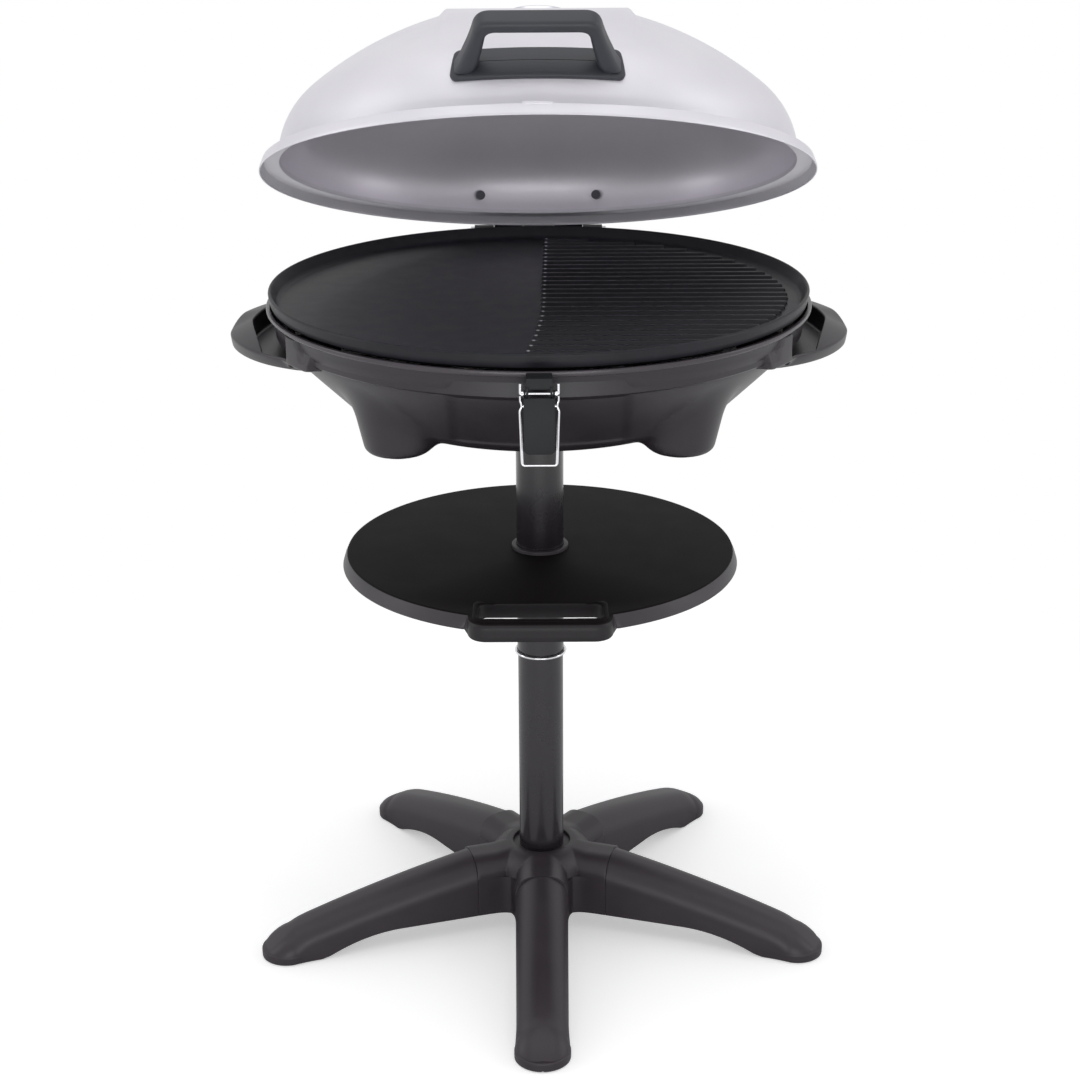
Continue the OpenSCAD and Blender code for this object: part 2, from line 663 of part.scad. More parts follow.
module bowl() {
  color("#46424a") difference() {
    union() {
      bowl_solid();
      for (k = [0:3]) stub(k);
      for (side = [-1, 1]) ear(side);
    }
    bowl_cavity();
    for (side = [-1, 1]) ear_hollow(side);
    // Hollows of the stub feet
    for (k = [0:3]) rotate([0, 0, 45 + 90 * k]) translate([stub_circle_r, 0, stub_z + 5])
      cylinder(r1 = stub_r - 6, r2 = stub_r - 2, h = 20);
    for (k = [0:3]) rotate([0, 0, 45 + 90 * k]) translate([stub_circle_r, 0, stub_z - 1])
      cylinder(r = 2.6, h = 8, $fn = fine);
    // Hole for the stand socket and its four screws
    translate([0, 0, bowl_floor_z - 1]) cylinder(r = socket_r + fit_gap, h = 10);
    for (a = [45:90:315]) rotate([0, 0, a]) translate([36, 0, bowl_floor_z - 1])
      cylinder(r = screw_r + fit_gap, h = 10, $fn = fine);
    // Screw holes of the hinge bracket
    for (x = [-hinge_screw_x, hinge_screw_x]) translate([x, wall_r - 22.6, hinge_screw_z]) rotate([-90, 0, 0])
      cylinder(r = screw_r + fit_gap, h = 30, $fn = fine);
    // Window for the inlet
    inlet_place() translate([-25, -22 - fit_gap, -13 - fit_gap]) cube([60, 44 + 2 * fit_gap, 26 + 2 * fit_gap]);
  }
}

module stub_pads() {
  color("#222222") for (k = [0:3]) rotate([0, 0, 45 + 90 * k]) translate([stub_circle_r, 0, stub_z]) {
    translate([0, 0, -1.5]) cylinder(r1 = 17, r2 = 18, h = 1.5);
    cylinder(r = 2.5, h = 7, $fn = fine);
  }
}

module stand_socket() {
  color("#3a373b") difference() {
    union() {
      translate([0, 0, bowl_floor_z]) cylinder(r = socket_r, h = socket_top - bowl_floor_z);
      translate([0, 0, bowl_floor_z + bowl_wall]) cylinder(r = socket_flange_r, h = socket_flange_t);
    }
    translate([0, 0, bowl_floor_z - 1]) cylinder(r = socket_in, h = cap_top + move_gap - bowl_floor_z + 1);
    for (a = [45:90:315]) rotate([0, 0, a]) translate([36, 0, bowl_floor_z])
      cylinder(r = screw_r + fit_gap, h = 12, $fn = fine);
  }
}

module socket_screws() {
  color("silver") for (a = [45:90:315]) rotate([0, 0, a]) translate([36, 0, bowl_floor_z]) {
    translate([0, 0, -screw_head_h]) cylinder(r = screw_head_r, h = screw_head_h, $fn = fine);
    cylinder(r = screw_r, h = bowl_wall + socket_flange_t - 0.5, $fn = fine);
  }
}

module reflector_pan() {
  t = 0.8;
  pan = bowl_floor_r;
  low = bowl_floor_z + bowl_wall + socket_flange_t;
  color("silver") rotate_extrude() polygon([
    [socket_r + 1, low], [pan - 8, low], [pan + 24, low + 16], [pan + 52, low + 44], [pan + 58, low + 44],
    [pan + 58, low + 44 + t], [pan + 51.6, low + 44 + t], [pan + 23.6, low + 16 + t], [pan - 8.4, low + t],
    [socket_r + 1, low + t]]);
}

// ---- heating ----
module loop(r, from, sweep) {
  translate([0, 0, element_z]) rotate([0, 0, from]) rotate_extrude(angle = sweep)
    translate([r, 0]) circle(r = element_r, $fn = fine);
}

module rod(angle, from, to) {
  rotate([0, 0, angle]) translate([from, 0, element_z]) rotate([0, 90, 0])
    cylinder(r = element_r - 0.15, h = to - from, $fn = fine);
}

module heating_element() {
  color("#77706a") {
    loop(element_outer, inlet_angle + 4, 316);
    loop(element_inner, inlet_angle + 12, 308);
    rod(inlet_angle + 319, element_inner, element_outer);
    rod(inlet_angle + 5, element_outer, element_end);
    rod(inlet_angle + 13.5, element_inner, element_outer - element_r - 3);
  }
}

module element_clips() {
  color("silver") for (a = [30:60:270]) rotate([0, 0, inlet_angle + a])
    translate([element_outer, 0, 0]) difference() {
      translate([-9, -4, element_z - element_r - 1.4]) cube([18, 8, plate_under - element_z + element_r + 1.2]);
      translate([0, -5, element_z]) rotate([-90, 0, 0]) cylinder(r = element_r + fit_gap, h = 10, $fn = fine);
      translate([-element_r - fit_gap, -5, element_z]) cube([2 * (element_r + fit_gap), 10, 10]);
    }
}

module inlet_housing() {
  color("#1d1b1d") difference() {
    union() {
      inlet_place() translate([-24, -22, -13]) cube([26, 44, 26]);
      // Flange outside the bowl
      difference() {
        inlet_place() translate([-4, -25, -16]) cube([7, 50, 32]);
        bowl_room();
      }
    }
    inlet_place() translate([-18, -18, -9]) cube([30, 36, 18]);
    inlet_place() for (y = [-11, 0, 11]) translate([-30, y, 0]) rotate([0, 90, 0])
      cylinder(r = 2 + fit_gap, h = 20, $fn = fine);
  }
}

module inlet_pins() {
  color("silver") inlet_place() for (y = [-11, 0, 11]) translate([-28, y, 0]) rotate([0, 90, 0]) {
    cylinder(r = 2, h = 21, $fn = fine);
    translate([0, 0, 21]) sphere(r = 2, $fn = fine);
  }
}

// ---- grill plate ----
module rib(y) {
  left = rib_left(y);
  right = sqrt(rib_end * rib_end - y * y);
  if (right - left > 30) translate([0, y, plate_face_z - eps]) {
    translate([left + rib_w / 2, 0, 0]) rotate([90, 0, 90])
      linear_extrude(right - left - rib_w) polygon([[-rib_w / 2, 0], [rib_w / 2, 0],
        [rib_w / 2 - 1.6, rib_h], [-rib_w / 2 + 1.6, rib_h]]);
    for (x = [left + rib_w / 2, right - rib_w / 2]) translate([x, 0, 0])
      cylinder(r1 = rib_w / 2, r2 = rib_w / 2 - 1.6, h = rib_h, $fn = fine);
  }
}

module grill_plate() {
  color("#36363e") {
    rotate_extrude($fn = 180) polygon([
      [0, plate_under], [plate_spigot_r, plate_under], [plate_spigot_r, plate_skirt_z],
      [plate_r - 2.4, plate_skirt_z], [plate_r - 0.6, plate_skirt_z + 5], [plate_r, plate_top - 1.2],
      [plate_r - 0.9, plate_top], [plate_r - plate_lip, plate_top],
      [plate_r - plate_lip - 1, plate_top - 1.4], [plate_floor_r + 1.6, plate_face_z + 1.8],
      [plate_floor_r - 1.4, plate_face_z], [0, plate_face_z]]);
    for (k = [0:rib_count]) rib((k - rib_count / 2) * rib_pitch);
  }
}

module plate_posts() {
  color("#e8e4dc") intersection() {
    for (a = [15, 75, 165, 195, 255, 345]) rotate([0, 0, a]) translate([post_circle, 0, 520])
      cylinder(r = post_r, h = plate_under - 520 - fit_gap / 2, $fn = fine);
    bowl_cavity(fit_gap);
  }
}

// ---- lid, drawn closed with its rim on z = 0 ----
module lid_place() {
  translate([0, hinge_y, hinge_z]) rotate([-lid_open, 0, 0]) translate([0, -hinge_y, lid_rim_z - hinge_z])
    children();
}

// Half section of the dome grown by d
module dome_half(d) {
  intersection() {
    union() {
      intersection() {
        translate([0, crown_zc]) circle(r = crown_r + d, $fn = 360);
        polygon([[0, crown_zc], [0, big], [big / tan(join_angle), crown_zc + big]]);
      }
      difference() {
        union() {
          translate([shoulder_x, shoulder_z]) circle(r = shoulder_r + d, $fn = 180);
          square([shoulder_x, shoulder_z + shoulder_r]);
          translate([0, 0]) square([dome_r + d - eps, shoulder_z]);
        }
        polygon([[0, crown_zc], [0, big], [big / tan(join_angle), crown_zc + big]]);
      }
    }
    square([big, big]);
  }
}

module dome(d, low) {
  translate([0, 0, 0]) rotate_extrude($fn = 180) intersection() {
    dome_half(d);
    translate([0, low]) square([big, big]);
  }
}

module lid_skin(d) {
  difference() {
    dome(d, 0);
    // Cut the crown down to the panel
    difference() {
      translate([-panel_half - panel_edge, -panel_front + 12, 90]) cube([2 * (panel_half + panel_edge), panel_front - 12 + panel_rear, 80]);
      rotate([90, 0, 90]) translate([0, 0, -200]) linear_extrude(400)
        translate([0, crown_zc]) circle(r = crown_r - panel_drop + d, $fn = 360);
    }
  }
}

module lid_shell() {
  color("#dedce4") lid_place() {
    difference() {
      lid_skin(0);
      difference() {
        lid_skin(-lid_wall);
        translate([0, 0, -1]) cube([2 * big, 2 * big, 2], center = true);
      }
      translate([0, 0, crown_h - 20]) cylinder(r = rivet_r + fit_gap, h = 40, $fn = fine);
      for (side = [-1, 1]) grip_screw(side) translate([0, 0, -5]) cylinder(r = 2.1, h = 10, $fn = fine);
      for (a = [0:60:300]) rotate([0, 0, a]) translate([17, 0, crown_h - 20]) cylinder(r = 5, h = 40, $fn = fine);
      for (side = [-1, 1]) leaf_hole(side) cylinder(r = 2.1, h = 12, $fn = fine);
      translate([0, 0, -20]) cylinder(r = big, h = 20 + lid_step - lid_wall);
    }
    // Stepped rim: ledge that rests on the plate, and the flared skirt
    rotate_extrude($fn = 180) polygon([
      [dome_r - lid_wall, lid_step - lid_wall], [ledge_r - lid_wall - 0.4, lid_step - lid_wall],
      [lid_r - lid_wall - 1, 1.6], [lid_r - lid_wall, 0], [lid_r, 0], [lid_r, 1.6],
      [ledge_r, lid_step - 0.8], [ledge_r - 1, lid_step], [dome_r - 0.4, lid_step], [dome_r - lid_wall, lid_step + 0.5]]);
    // Stamped catch for the bail
    translate([0, -ledge_r + 1.6, lid_step - 0.4]) rotate([0, 90, 0]) cylinder(r = 2, h = 17, center = true, $fn = fine);
  }
}

module leaf_hole(side) {
  rotate([0, 0, 90 + side * 14.8]) translate([dome_r - 8, 0, 23.5]) rotate([0, 90, 0]) children();
}

// Strip that follows the dome's shoulder between two angles of the shoulder arc
module shoulder_strip(d0, d1, low, high, span) {
  rotate([0, 0, -span]) rotate_extrude(angle = 2 * span) intersection() {
    translate([shoulder_x, shoulder_z]) difference() {
      circle(r = shoulder_r + d1, $fn = 180);
      circle(r = shoulder_r + d0, $fn = 180);
    }
    translate([shoulder_x, shoulder_z])
      polygon([[0, 0], [200 * cos(low), 200 * sin(low)], [200 * cos(high), 200 * sin(high)]]);
  }
}

// Frame of the handle: x across, y up the dome, z away from it
module grip_frame() {
  rotate([0, 0, -90]) translate([shoulder_x, 0, shoulder_z]) rotate([0, -grip_mid_angle, 0])
    translate([shoulder_r, 0, 0]) rotate([90, 0, 90]) children();
}

module grip_profile() {
  difference() {
    polygon(concat(
      [[-grip_half_low, -12]],
      [[-grip_half_low, 0]],
      [for (a = [0:15:75]) [-grip_half_high + 12 - 12 * cos(a), grip_height - 12 + 12 * sin(a)]],
      [for (a = [75:-15:0]) [grip_half_high - 12 + 12 * cos(a), grip_height - 12 + 12 * sin(a)]],
      [[grip_half_low, 0]],
      [[grip_half_low, -12]]));
    polygon(concat(
      [[-grip_open_low, -20]],
      [[-grip_open_low, 0]],
      [for (a = [0:15:75]) [-grip_open_high + 9 - 9 * cos(a), grip_clear - 9 + 9 * sin(a)]],
      [for (a = [75:-15:0]) [grip_open_high - 9 + 9 * cos(a), grip_clear - 9 + 9 * sin(a)]],
      [[grip_open_low, 0]],
      [[grip_open_low, -20]]));
  }
}

module lid_handle() {
  color("#3e4248") lid_place() difference() {
    union() {
      rotate([0, 0, -90]) shoulder_strip(-2, grip_base_t, grip_low_angle, grip_high_angle, grip_span);
      grip_frame() translate([0, grip_low, 0]) rotate([90, 0, 0]) translate([0, 0, -grip_depth])
        linear_extrude(grip_depth) grip_profile();
    }
    dome(fit_gap, 0);
    for (side = [-1, 1]) grip_screw(side) translate([0, 0, -2]) cylinder(r = 2.1, h = 11, $fn = fine);
  }
}

// Place of a handle screw, square to the dome, with z = 0 on the dome's outer face
module grip_screw(side) {
  rotate([0, 0, side * grip_screw_angle - 90]) translate([shoulder_x, 0, shoulder_z]) rotate([0, -grip_mid_angle, 0])
    translate([shoulder_r, 0, 0]) rotate([0, 90, 0]) children();
}

module handle_screws() {
  color("silver") lid_place() for (side = [-1, 1]) grip_screw(side) {
    translate([0, 0, -lid_wall - 2.6]) cylinder(r = 2, h = lid_wall + 11, $fn = fine);
    translate([0, 0, -lid_wall - 2.6]) cylinder(r = 4, h = 2.4, $fn = fine);
  }
}

module hinge_leaf() {
  color("#2a2a2e") lid_place() {
    difference() {
      union() {
        rotate([0, 0, 90]) rotate([0, 0, -leaf_span]) rotate_extrude(angle = 2 * leaf_span, $fn = 180)
          intersection() {
            translate([shoulder_x, shoulder_z]) difference() {
              circle(r = shoulder_r + leaf_t, $fn = 180);
              circle(r = shoulder_r - 2, $fn = 180);
            }
            translate([shoulder_x, lid_step + 3]) square([200, 24]);
          }
        // Arms from the strap over the rim down to the knuckles
        for (side = [-1, 1]) translate([side > 0 ? leaf_inner : -leaf_outer, 0, 0])
          rotate([90, 0, 90]) linear_extrude(leaf_outer - leaf_inner) difference() {
            polygon([[dome_r - 6.3, lid_step + 1], [lid_r + 4, lid_step + 1], [hinge_y - 4, hinge_z - lid_rim_z],
              [hinge_y + 4, hinge_z - lid_rim_z + 2], [lid_r + 9, lid_step + 8],
              [dome_r + 4, lid_step + 13], [dome_r - 6.3, lid_step + 13]]);
          }
        for (side = [-1, 1]) translate([side > 0 ? leaf_inner : -leaf_outer, hinge_y, hinge_z - lid_rim_z])
          rotate([0, 90, 0]) cylinder(r = knuckle_r, h = leaf_outer - leaf_inner, $fn = 64);
      }
      dome(fit_gap, 0);
      translate([-80, hinge_y, hinge_z - lid_rim_z]) rotate([0, 90, 0])
        cylinder(r = hinge_pin_r + run_gap, h = 160, $fn = 64);
      for (side = [-1, 1]) leaf_hole(side) cylinder(r = 2.1, h = 20, $fn = fine);
    }
  }
}

module leaf_screws() {
  color("silver") lid_place() for (side = [-1, 1]) leaf_hole(side) {
    translate([0, 0, 3]) cylinder(r = 2, h = 11, $fn = fine);
    translate([0, 0, 1.2]) cylinder(r = 4.2, h = 3, $fn = fine);
  }
}

// ---- vent ----
module vent_rivet() {
  color("silver") lid_place() {
    translate([0, 0, panel_h - lid_wall - 2]) cylinder(r = rivet_r, h = lid_wall + vent_h + 3.5, $fn = fine);
    translate([0, 0, panel_h - lid_wall - 2]) cylinder(r = 7, h = 1.9, $fn = fine);
    translate([0, 0, panel_h + vent_h + 0.5]) cylinder(r1 = 6.5, r2 = 5, h = 2, $fn = fine);
  }
}

module vent_disc() {
  color("#c8c8ce") lid_place() translate([0, 0, panel_h + vent_gap]) difference() {
    rotate_extrude() polygon([[rivet_r + run_gap, vent_h - 2.2], [rivet_r + run_gap, vent_h - 0.2],
      [vent_r - 4, vent_h - 0.8], [vent_r - 1, vent_h - 2], [vent_r, vent_h - 4], [vent_r, 0.2],
      [vent_r - 1.5, 0.2], [vent_r - 1.5, vent_h - 4], [vent_r - 4.6, vent_h - 2.2]]);
    for (a = [30:60:330]) rotate([0, 0, a]) translate([17, 0, -1]) cylinder(r = 5, h = 20, $fn = fine);
  }
}

// ---- hinge on the bowl ----
module hinge_bracket() {
  color("#2a2a2e") difference() {
    union() {
      translate([-hinge_half, wall_r - 30, bracket_low])
        cube([2 * hinge_half, bracket_rear - wall_r + 30, bracket_top - bracket_low]);
      for (span = hinge_bracket_spans) translate([span[0], hinge_y, hinge_z]) {
        rotate([0, 90, 0]) cylinder(r = knuckle_r, h = span[1] - span[0], $fn = 64);
        translate([0, -knuckle_r, bracket_top - hinge_z - 1])
          cube([span[1] - span[0], 2 * knuckle_r, hinge_z - bracket_top + 1]);
      }
    }
    bowl_room();
    translate([-80, hinge_y, hinge_z]) rotate([0, 90, 0]) cylinder(r = hinge_pin_r + fit_gap, h = 160, $fn = 64);
    for (x = [-hinge_screw_x, hinge_screw_x]) translate([x, wall_r - 30, hinge_screw_z]) rotate([-90, 0, 0])
      cylinder(r = screw_r + fit_gap, h = 100, $fn = fine);
    for (x = [-hinge_screw_x, hinge_screw_x]) translate([x, bracket_rear - 6, hinge_screw_z]) rotate([-90, 0, 0])
      cylinder(r = screw_head_r + 0.6, h = 10, $fn = fine);
  }
}

module hinge_screws() {
  color("silver") for (x = [-hinge_screw_x, hinge_screw_x]) translate([x, bracket_rear - 6, hinge_screw_z]) {
    rotate([-90, 0, 0]) cylinder(r = screw_head_r, h = 3, $fn = fine);
    rotate([90, 0, 0]) cylinder(r = screw_r, h = bracket_rear - 6 - wall_r + 11.6, $fn = fine);
  }
}

module hinge_pin() {
  color("silver") translate([-hinge_half - 2, hinge_y, hinge_z]) rotate([0, 90, 0]) {
    cylinder(r = hinge_pin_r, h = 2 * hinge_half + 4, $fn = 64);
    translate([0, 0, -1.5]) cylinder(r = hinge_pin_r + 2, h = 3.4, $fn = 64);
    translate([0, 0, 2 * hinge_half + 2.1]) cylinder(r = hinge_pin_r + 2, h = 3.4, $fn = 64);
  }
}

// ---- latch ----
module latch_bracket() {
  color("#2e2b2f") difference() {
    union() {
      translate([-ear_out, -latch_y - 1.5, latch_z + 3.4]) cube([2 * ear_out, 24, 8.4]);
      for (side = [-1, 1]) translate([side > 0 ? ear_in : -ear_out, 0, 0]) {
        translate([0, -latch_y, latch_z]) rotate([0, 90, 0]) cylinder(r = 3, h = ear_out - ear_in, $fn = fine);
        translate([0, -latch_y - 3, latch_z]) cube([ear_out - ear_in, 22, 5]);
      }
    }
    bowl_room();
    translate([-20, -latch_y, latch_z]) rotate([0, 90, 0])
      cylinder(r = latch_pin_r + fit_gap / 2, h = 40, $fn = fine);
  }
}

// Pin whose ends are bent upwards, so that it can't slide out
module latch_pin() {
  color("silver") translate([0, -latch_y, latch_z]) {
    translate([-pin_half, 0, 0]) rotate([0, 90, 0]) cylinder(r = latch_pin_r, h = 2 * pin_half, $fn = fine);
    for (side = [-1, 1]) translate([side * pin_half, 0, 0]) {
      sphere(r = latch_pin_r, $fn = fine);
      cylinder(r = latch_pin_r, h = pin_bend, $fn = fine);
      translate([0, 0, pin_bend]) sphere(r = latch_pin_r, $fn = fine);
    }
  }
}

module latch_lever() {
  color("#34343a") difference() {
    union() {
      // Face with rounded lower corners
      translate([0, -lever_face_y, latch_z - 2.5]) rotate([90, 0, 0]) translate([0, 0, 0]) linear_extrude(lever_t) {
        translate([-lever_half, -lever_len + 6]) square([lever_w, lever_len - 6]);
        translate([-lever_half + 4, -lever_len + 2]) square([lever_w - 8, 10]);
        for (side = [-1, 1]) translate([side * (lever_half - 4), -lever_len + 6]) circle(r = 4, $fn = fine);
      }
      // Side flanges that turn on the pin
      for (side = [-1, 1]) translate([side > 0 ? lever_half - lever_t : -lever_half, 0, 0]) rotate([90, 0, 90])
        linear_extrude(lever_t) {
          translate([-latch_y, latch_z]) circle(r = 2.6, $fn = fine);
          polygon([[-lever_face_y, latch_z - 2.5], [-latch_y + 2.4, latch_z - 1],
            [-latch_y + 1.5, bail_z - 4], [-lever_face_y + 1.5, latch_z - lever_len * 0.8],
            [-lever_face_y, latch_z - lever_len * 0.8]]);
        }
    }
    translate([-20, -latch_y, latch_z]) rotate([0, 90, 0]) cylinder(r = latch_pin_r + run_gap, h = 40, $fn = fine);
    for (side = [-1, 1]) translate([side > 0 ? lever_half - 2 : -lever_half - 2, -latch_y, bail_z])
      rotate([0, 90, 0]) cylinder(r = wire_r + run_gap, h = 4, $fn = fine);
  }
}

// Path of one side of the bail, from its upper tail down to the middle of the bar
function bail_side(side) = let (y = -latch_y, low = bail_z - bail_len) [
  [side * bail_half_top, y, bail_z + tail_len], [side * bail_half_top, y, bail_z + 4],
  [side * (bail_half_top - 0.6), y, bail_z + 2.6], [side * (lever_half + 1.5), y, bail_z + 0.6],
  [side * (lever_half + 1.5), y, bail_z - 0.6], [side * (bail_half_mid - 0.4), y, bail_z - 2.6],
  [side * bail_half_mid, y, bail_z - 4], [side * bail_half_low, y, low + 3],
  [side * (bail_half_low - 0.9), y, low + 0.9], [side * (bail_half_low - 3), y, low]];
function reversed(list) = [for (i = [len(list) - 1:-1:0]) list[i]];

// Round wire through points that lie in a plane of constant y
module flat_wire(points, radius, sides) {
  n = len(points);
  loft([for (i = [0:n - 1])
    let (d = points[min(n - 1, i + 1)] - points[max(0, i - 1)], t = d / norm(d), side = [t[2], 0, -t[0]])
    [for (k = [0:sides - 1]) points[i] + radius * (cos(360 * k / sides) * side
      + sin(360 * k / sides) * [0, 1, 0])]]);
}

module latch_bail() {
  color("silver") {
    flat_wire(concat(bail_side(-1), reversed(bail_side(1))), wire_r, 12);
    for (side = [-1, 1]) translate([side * (lever_half + 0.9), -latch_y, bail_z]) rotate([0, 90, 0])
      cylinder(r = wire_r - 0.02, h = 2 * lever_t + 1, center = true, $fn = fine);
  }
}

hub();
leg(0);  // leg_front
leg(1);  // leg_right
leg(2);  // leg_rear_right
leg(3);  // leg_rear_left
leg(4);  // leg_left
foot_pads();
leg_screws();
lower_column();
hub_plug();
hub_bolt();
joint_spigot();
ring_clip();
upper_column();
column_cap();
tray_support();
support_screw();
tray();
tray_bush();
bowl();
stub_pads();
stand_socket();
socket_screws();
reflector_pan();
heating_element();
element_clips();
grill_plate();
plate_posts();
inlet_housing();
inlet_pins();
hinge_bracket();
hinge_screws();
hinge_pin();
latch_bracket();
latch_pin();
lid_shell();
lid_handle();
handle_screws();
hinge_leaf();
leaf_screws();
vent_rivet();
vent_disc();
latch_lever();
latch_bail();
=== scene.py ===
"""Looks of the electric pedestal grill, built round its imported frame."""

import json
import logging
import math
from dataclasses import dataclass
from enum import Enum
from typing import Callable, Optional, Sequence

import bmesh
import bpy
import numpy as np
from mathutils import Matrix, Vector

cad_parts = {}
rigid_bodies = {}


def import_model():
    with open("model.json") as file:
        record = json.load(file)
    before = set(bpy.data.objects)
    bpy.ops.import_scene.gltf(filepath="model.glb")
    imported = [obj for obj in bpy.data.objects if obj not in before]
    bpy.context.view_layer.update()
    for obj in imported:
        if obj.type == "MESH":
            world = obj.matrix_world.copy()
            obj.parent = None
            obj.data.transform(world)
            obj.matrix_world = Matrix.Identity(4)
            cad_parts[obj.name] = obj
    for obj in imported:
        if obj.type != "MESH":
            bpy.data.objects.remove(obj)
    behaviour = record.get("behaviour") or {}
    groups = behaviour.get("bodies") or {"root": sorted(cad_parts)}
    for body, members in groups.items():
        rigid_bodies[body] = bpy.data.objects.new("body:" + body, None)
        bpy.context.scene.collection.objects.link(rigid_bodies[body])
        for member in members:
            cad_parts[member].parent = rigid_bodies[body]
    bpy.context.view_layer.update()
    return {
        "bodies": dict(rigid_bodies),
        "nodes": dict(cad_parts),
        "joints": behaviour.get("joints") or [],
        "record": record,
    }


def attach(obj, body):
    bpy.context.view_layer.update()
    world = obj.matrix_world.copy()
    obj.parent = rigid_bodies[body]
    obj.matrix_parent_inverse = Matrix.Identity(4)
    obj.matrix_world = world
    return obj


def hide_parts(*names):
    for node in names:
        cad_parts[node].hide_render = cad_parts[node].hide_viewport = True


log = logging.getLogger("grill")

Point = tuple[float, float, float]
Pair = tuple[float, float]
Colour = tuple[float, float, float, float]
Array = np.ndarray

MM: float = 0.001
JOIN_WITHIN: float = 2e-6
WHITE: Colour = (1.0, 1.0, 1.0, 1.0)


class Body(Enum):
    """The rigid bodies that the pieces ride on."""

    STAND = "stand"
    TRAY = "tray"
    GRILL = "grill"
    LID = "lid"
    VENT = "vent"
    LEVER = "lever"
    BAIL = "bail"


class Side(Enum):
    """The two sides of the grill, as the sign of x."""

    LEFT = -1
    RIGHT = 1


def shade(code: str) -> Colour:
    """Turn a hex colour into the linear values that a shader takes.

    Args:
        code: Colour as "#rrggbb".

    Returns:
        Linear red, green and blue with an alpha of 1.
    """
    channels = [int(code[i:i + 2], 16) / 255 for i in (1, 3, 5)]
    linear = [c / 12.92 if c <= 0.04045 else ((c + 0.055) / 1.055) ** 2.4 for c in channels]
    return (linear[0], linear[1], linear[2], 1.0)


def ease(value: float | Array) -> float | Array:
    """Smooth step from 0 to 1 with flat ends."""
    u = np.clip(value, 0.0, 1.0)
    return u * u * (3 - 2 * u)


def put_in_scene(name: str, data: bpy.types.ID) -> bpy.types.Object:
    """Make an object from its data and link it to the scene.

    Args:
        name: Name of the object.
        data: Its mesh, lamp or camera.

    Returns:
        The new object.
    """
    item = bpy.data.objects.new(name, data)
    bpy.context.scene.collection.objects.link(item)
    return item


# ---------------------------------------------------------------- meshes


class Skin:
    """Corners in millimetres and faces of one piece while it is drawn."""

    def __init__(self) -> None:
        """Start with nothing."""
        self.points: list[Point] = []
        self.faces: list[tuple[int, ...]] = []

    def rows(self, rows: Array, around: bool = True, first: bool = False, last: bool = False) -> "Skin":
        """Add a sheet through rows of points.

        Args:
            rows: Points as [row, column, xyz].
            around: Whether the last column joins the first.
            first: Whether the first row is closed with a face.
            last: Whether the last row is closed with a face.

        Returns:
            The skin itself.
        """
        count, width = rows.shape[:2]
        start = len(self.points)
        self.points.extend(map(tuple, rows.reshape(-1, 3)))
        for j in range(count - 1):
            for i in range(width if around else width - 1):
                k = (i + 1) % width
                a, b = start + j * width, start + (j + 1) * width
                self.faces.append((a + i, b + i, b + k, a + k))
        if first:
            self.faces.append(tuple(start + i for i in range(width)))
        if last:
            base = start + (count - 1) * width
            self.faces.append(tuple(base + i for i in range(width - 1, -1, -1)))
        return self

    def revolve(self, profile: Sequence[Pair], steps: int = 240, middle: Pair = (0.0, 0.0)) -> "Skin":
        """Add a surface turned about an upright axis.

        Args:
            profile: Radius and height of each ring.
            steps: Number of steps round the axis.
            middle: Place of the axis.

        Returns:
            The skin itself.
        """
        turn = np.linspace(0, 2 * math.pi, steps, endpoint=False)
        rings = [np.stack([middle[0] + r * np.cos(turn), middle[1] + r * np.sin(turn), np.full(steps, z)],
                          axis=1) for r, z in profile]
        return self.rows(np.array(rings))

    def wire(self, path: Array, radius: float, sides: int = 20) -> "Skin":
        """Add a round wire along a path, with closed ends.

        Args:
            path: Points that the wire follows.
            radius: Radius of the wire.
            sides: Number of sides of the wire.

        Returns:
            The skin itself.
        """
        along = np.roll(path, -1, 0) - np.roll(path, 1, 0)
        along[0], along[-1] = path[1] - path[0], path[-1] - path[-2]
        along /= np.linalg.norm(along, axis=1)[:, None]
        guide = np.array([0.0, 1.0, 0.0]) if abs(along[:, 1]).max() < 0.9 else np.array([1.0, 0.0, 0.0])
        across = np.cross(along, guide)
        across /= np.linalg.norm(across, axis=1)[:, None]
        other = np.cross(along, across)
        turn = np.linspace(0, 2 * math.pi, sides, endpoint=False)
        rows = (path[:, None] + radius * (across[:, None] * np.cos(turn)[None, :, None]
                                          + other[:, None] * np.sin(turn)[None, :, None]))
        return self.rows(rows, first=True, last=True)

    def moved(self, place: Callable[[Array], Array]) -> "Skin":
        """Send every corner through a function.

        Args:
            place: Takes and gives corners as an array with three columns.

        Returns:
            The skin itself.
        """
        self.points = list(map(tuple, place(np.array(self.points, dtype=float))))
        return self

    def to_mesh(self, name: str) -> bpy.types.Mesh:
        """Turn the skin into a mesh in metres.

        Args:
            name: Name of the mesh.

        Returns:
            The new mesh.
        """
        mesh = bpy.data.meshes.new(name)
        mesh.from_pydata([tuple(c * MM for c in p) for p in self.points], [], self.faces)
        return mesh


def bend(start: Array, corner: Array, end: Array, steps: int) -> list[Array]:
    """Points of a smooth bend that stays inside a corner.

    Args:
        start: Where the bend starts.
        corner: Corner that it rounds.
        end: Where the bend ends.
        steps: Number of points.

    Returns:
        The points, both ends included.
    """
    return [(1 - u) ** 2 * start + 2 * u * (1 - u) * corner + u * u * end for u in np.linspace(0, 1, steps)]


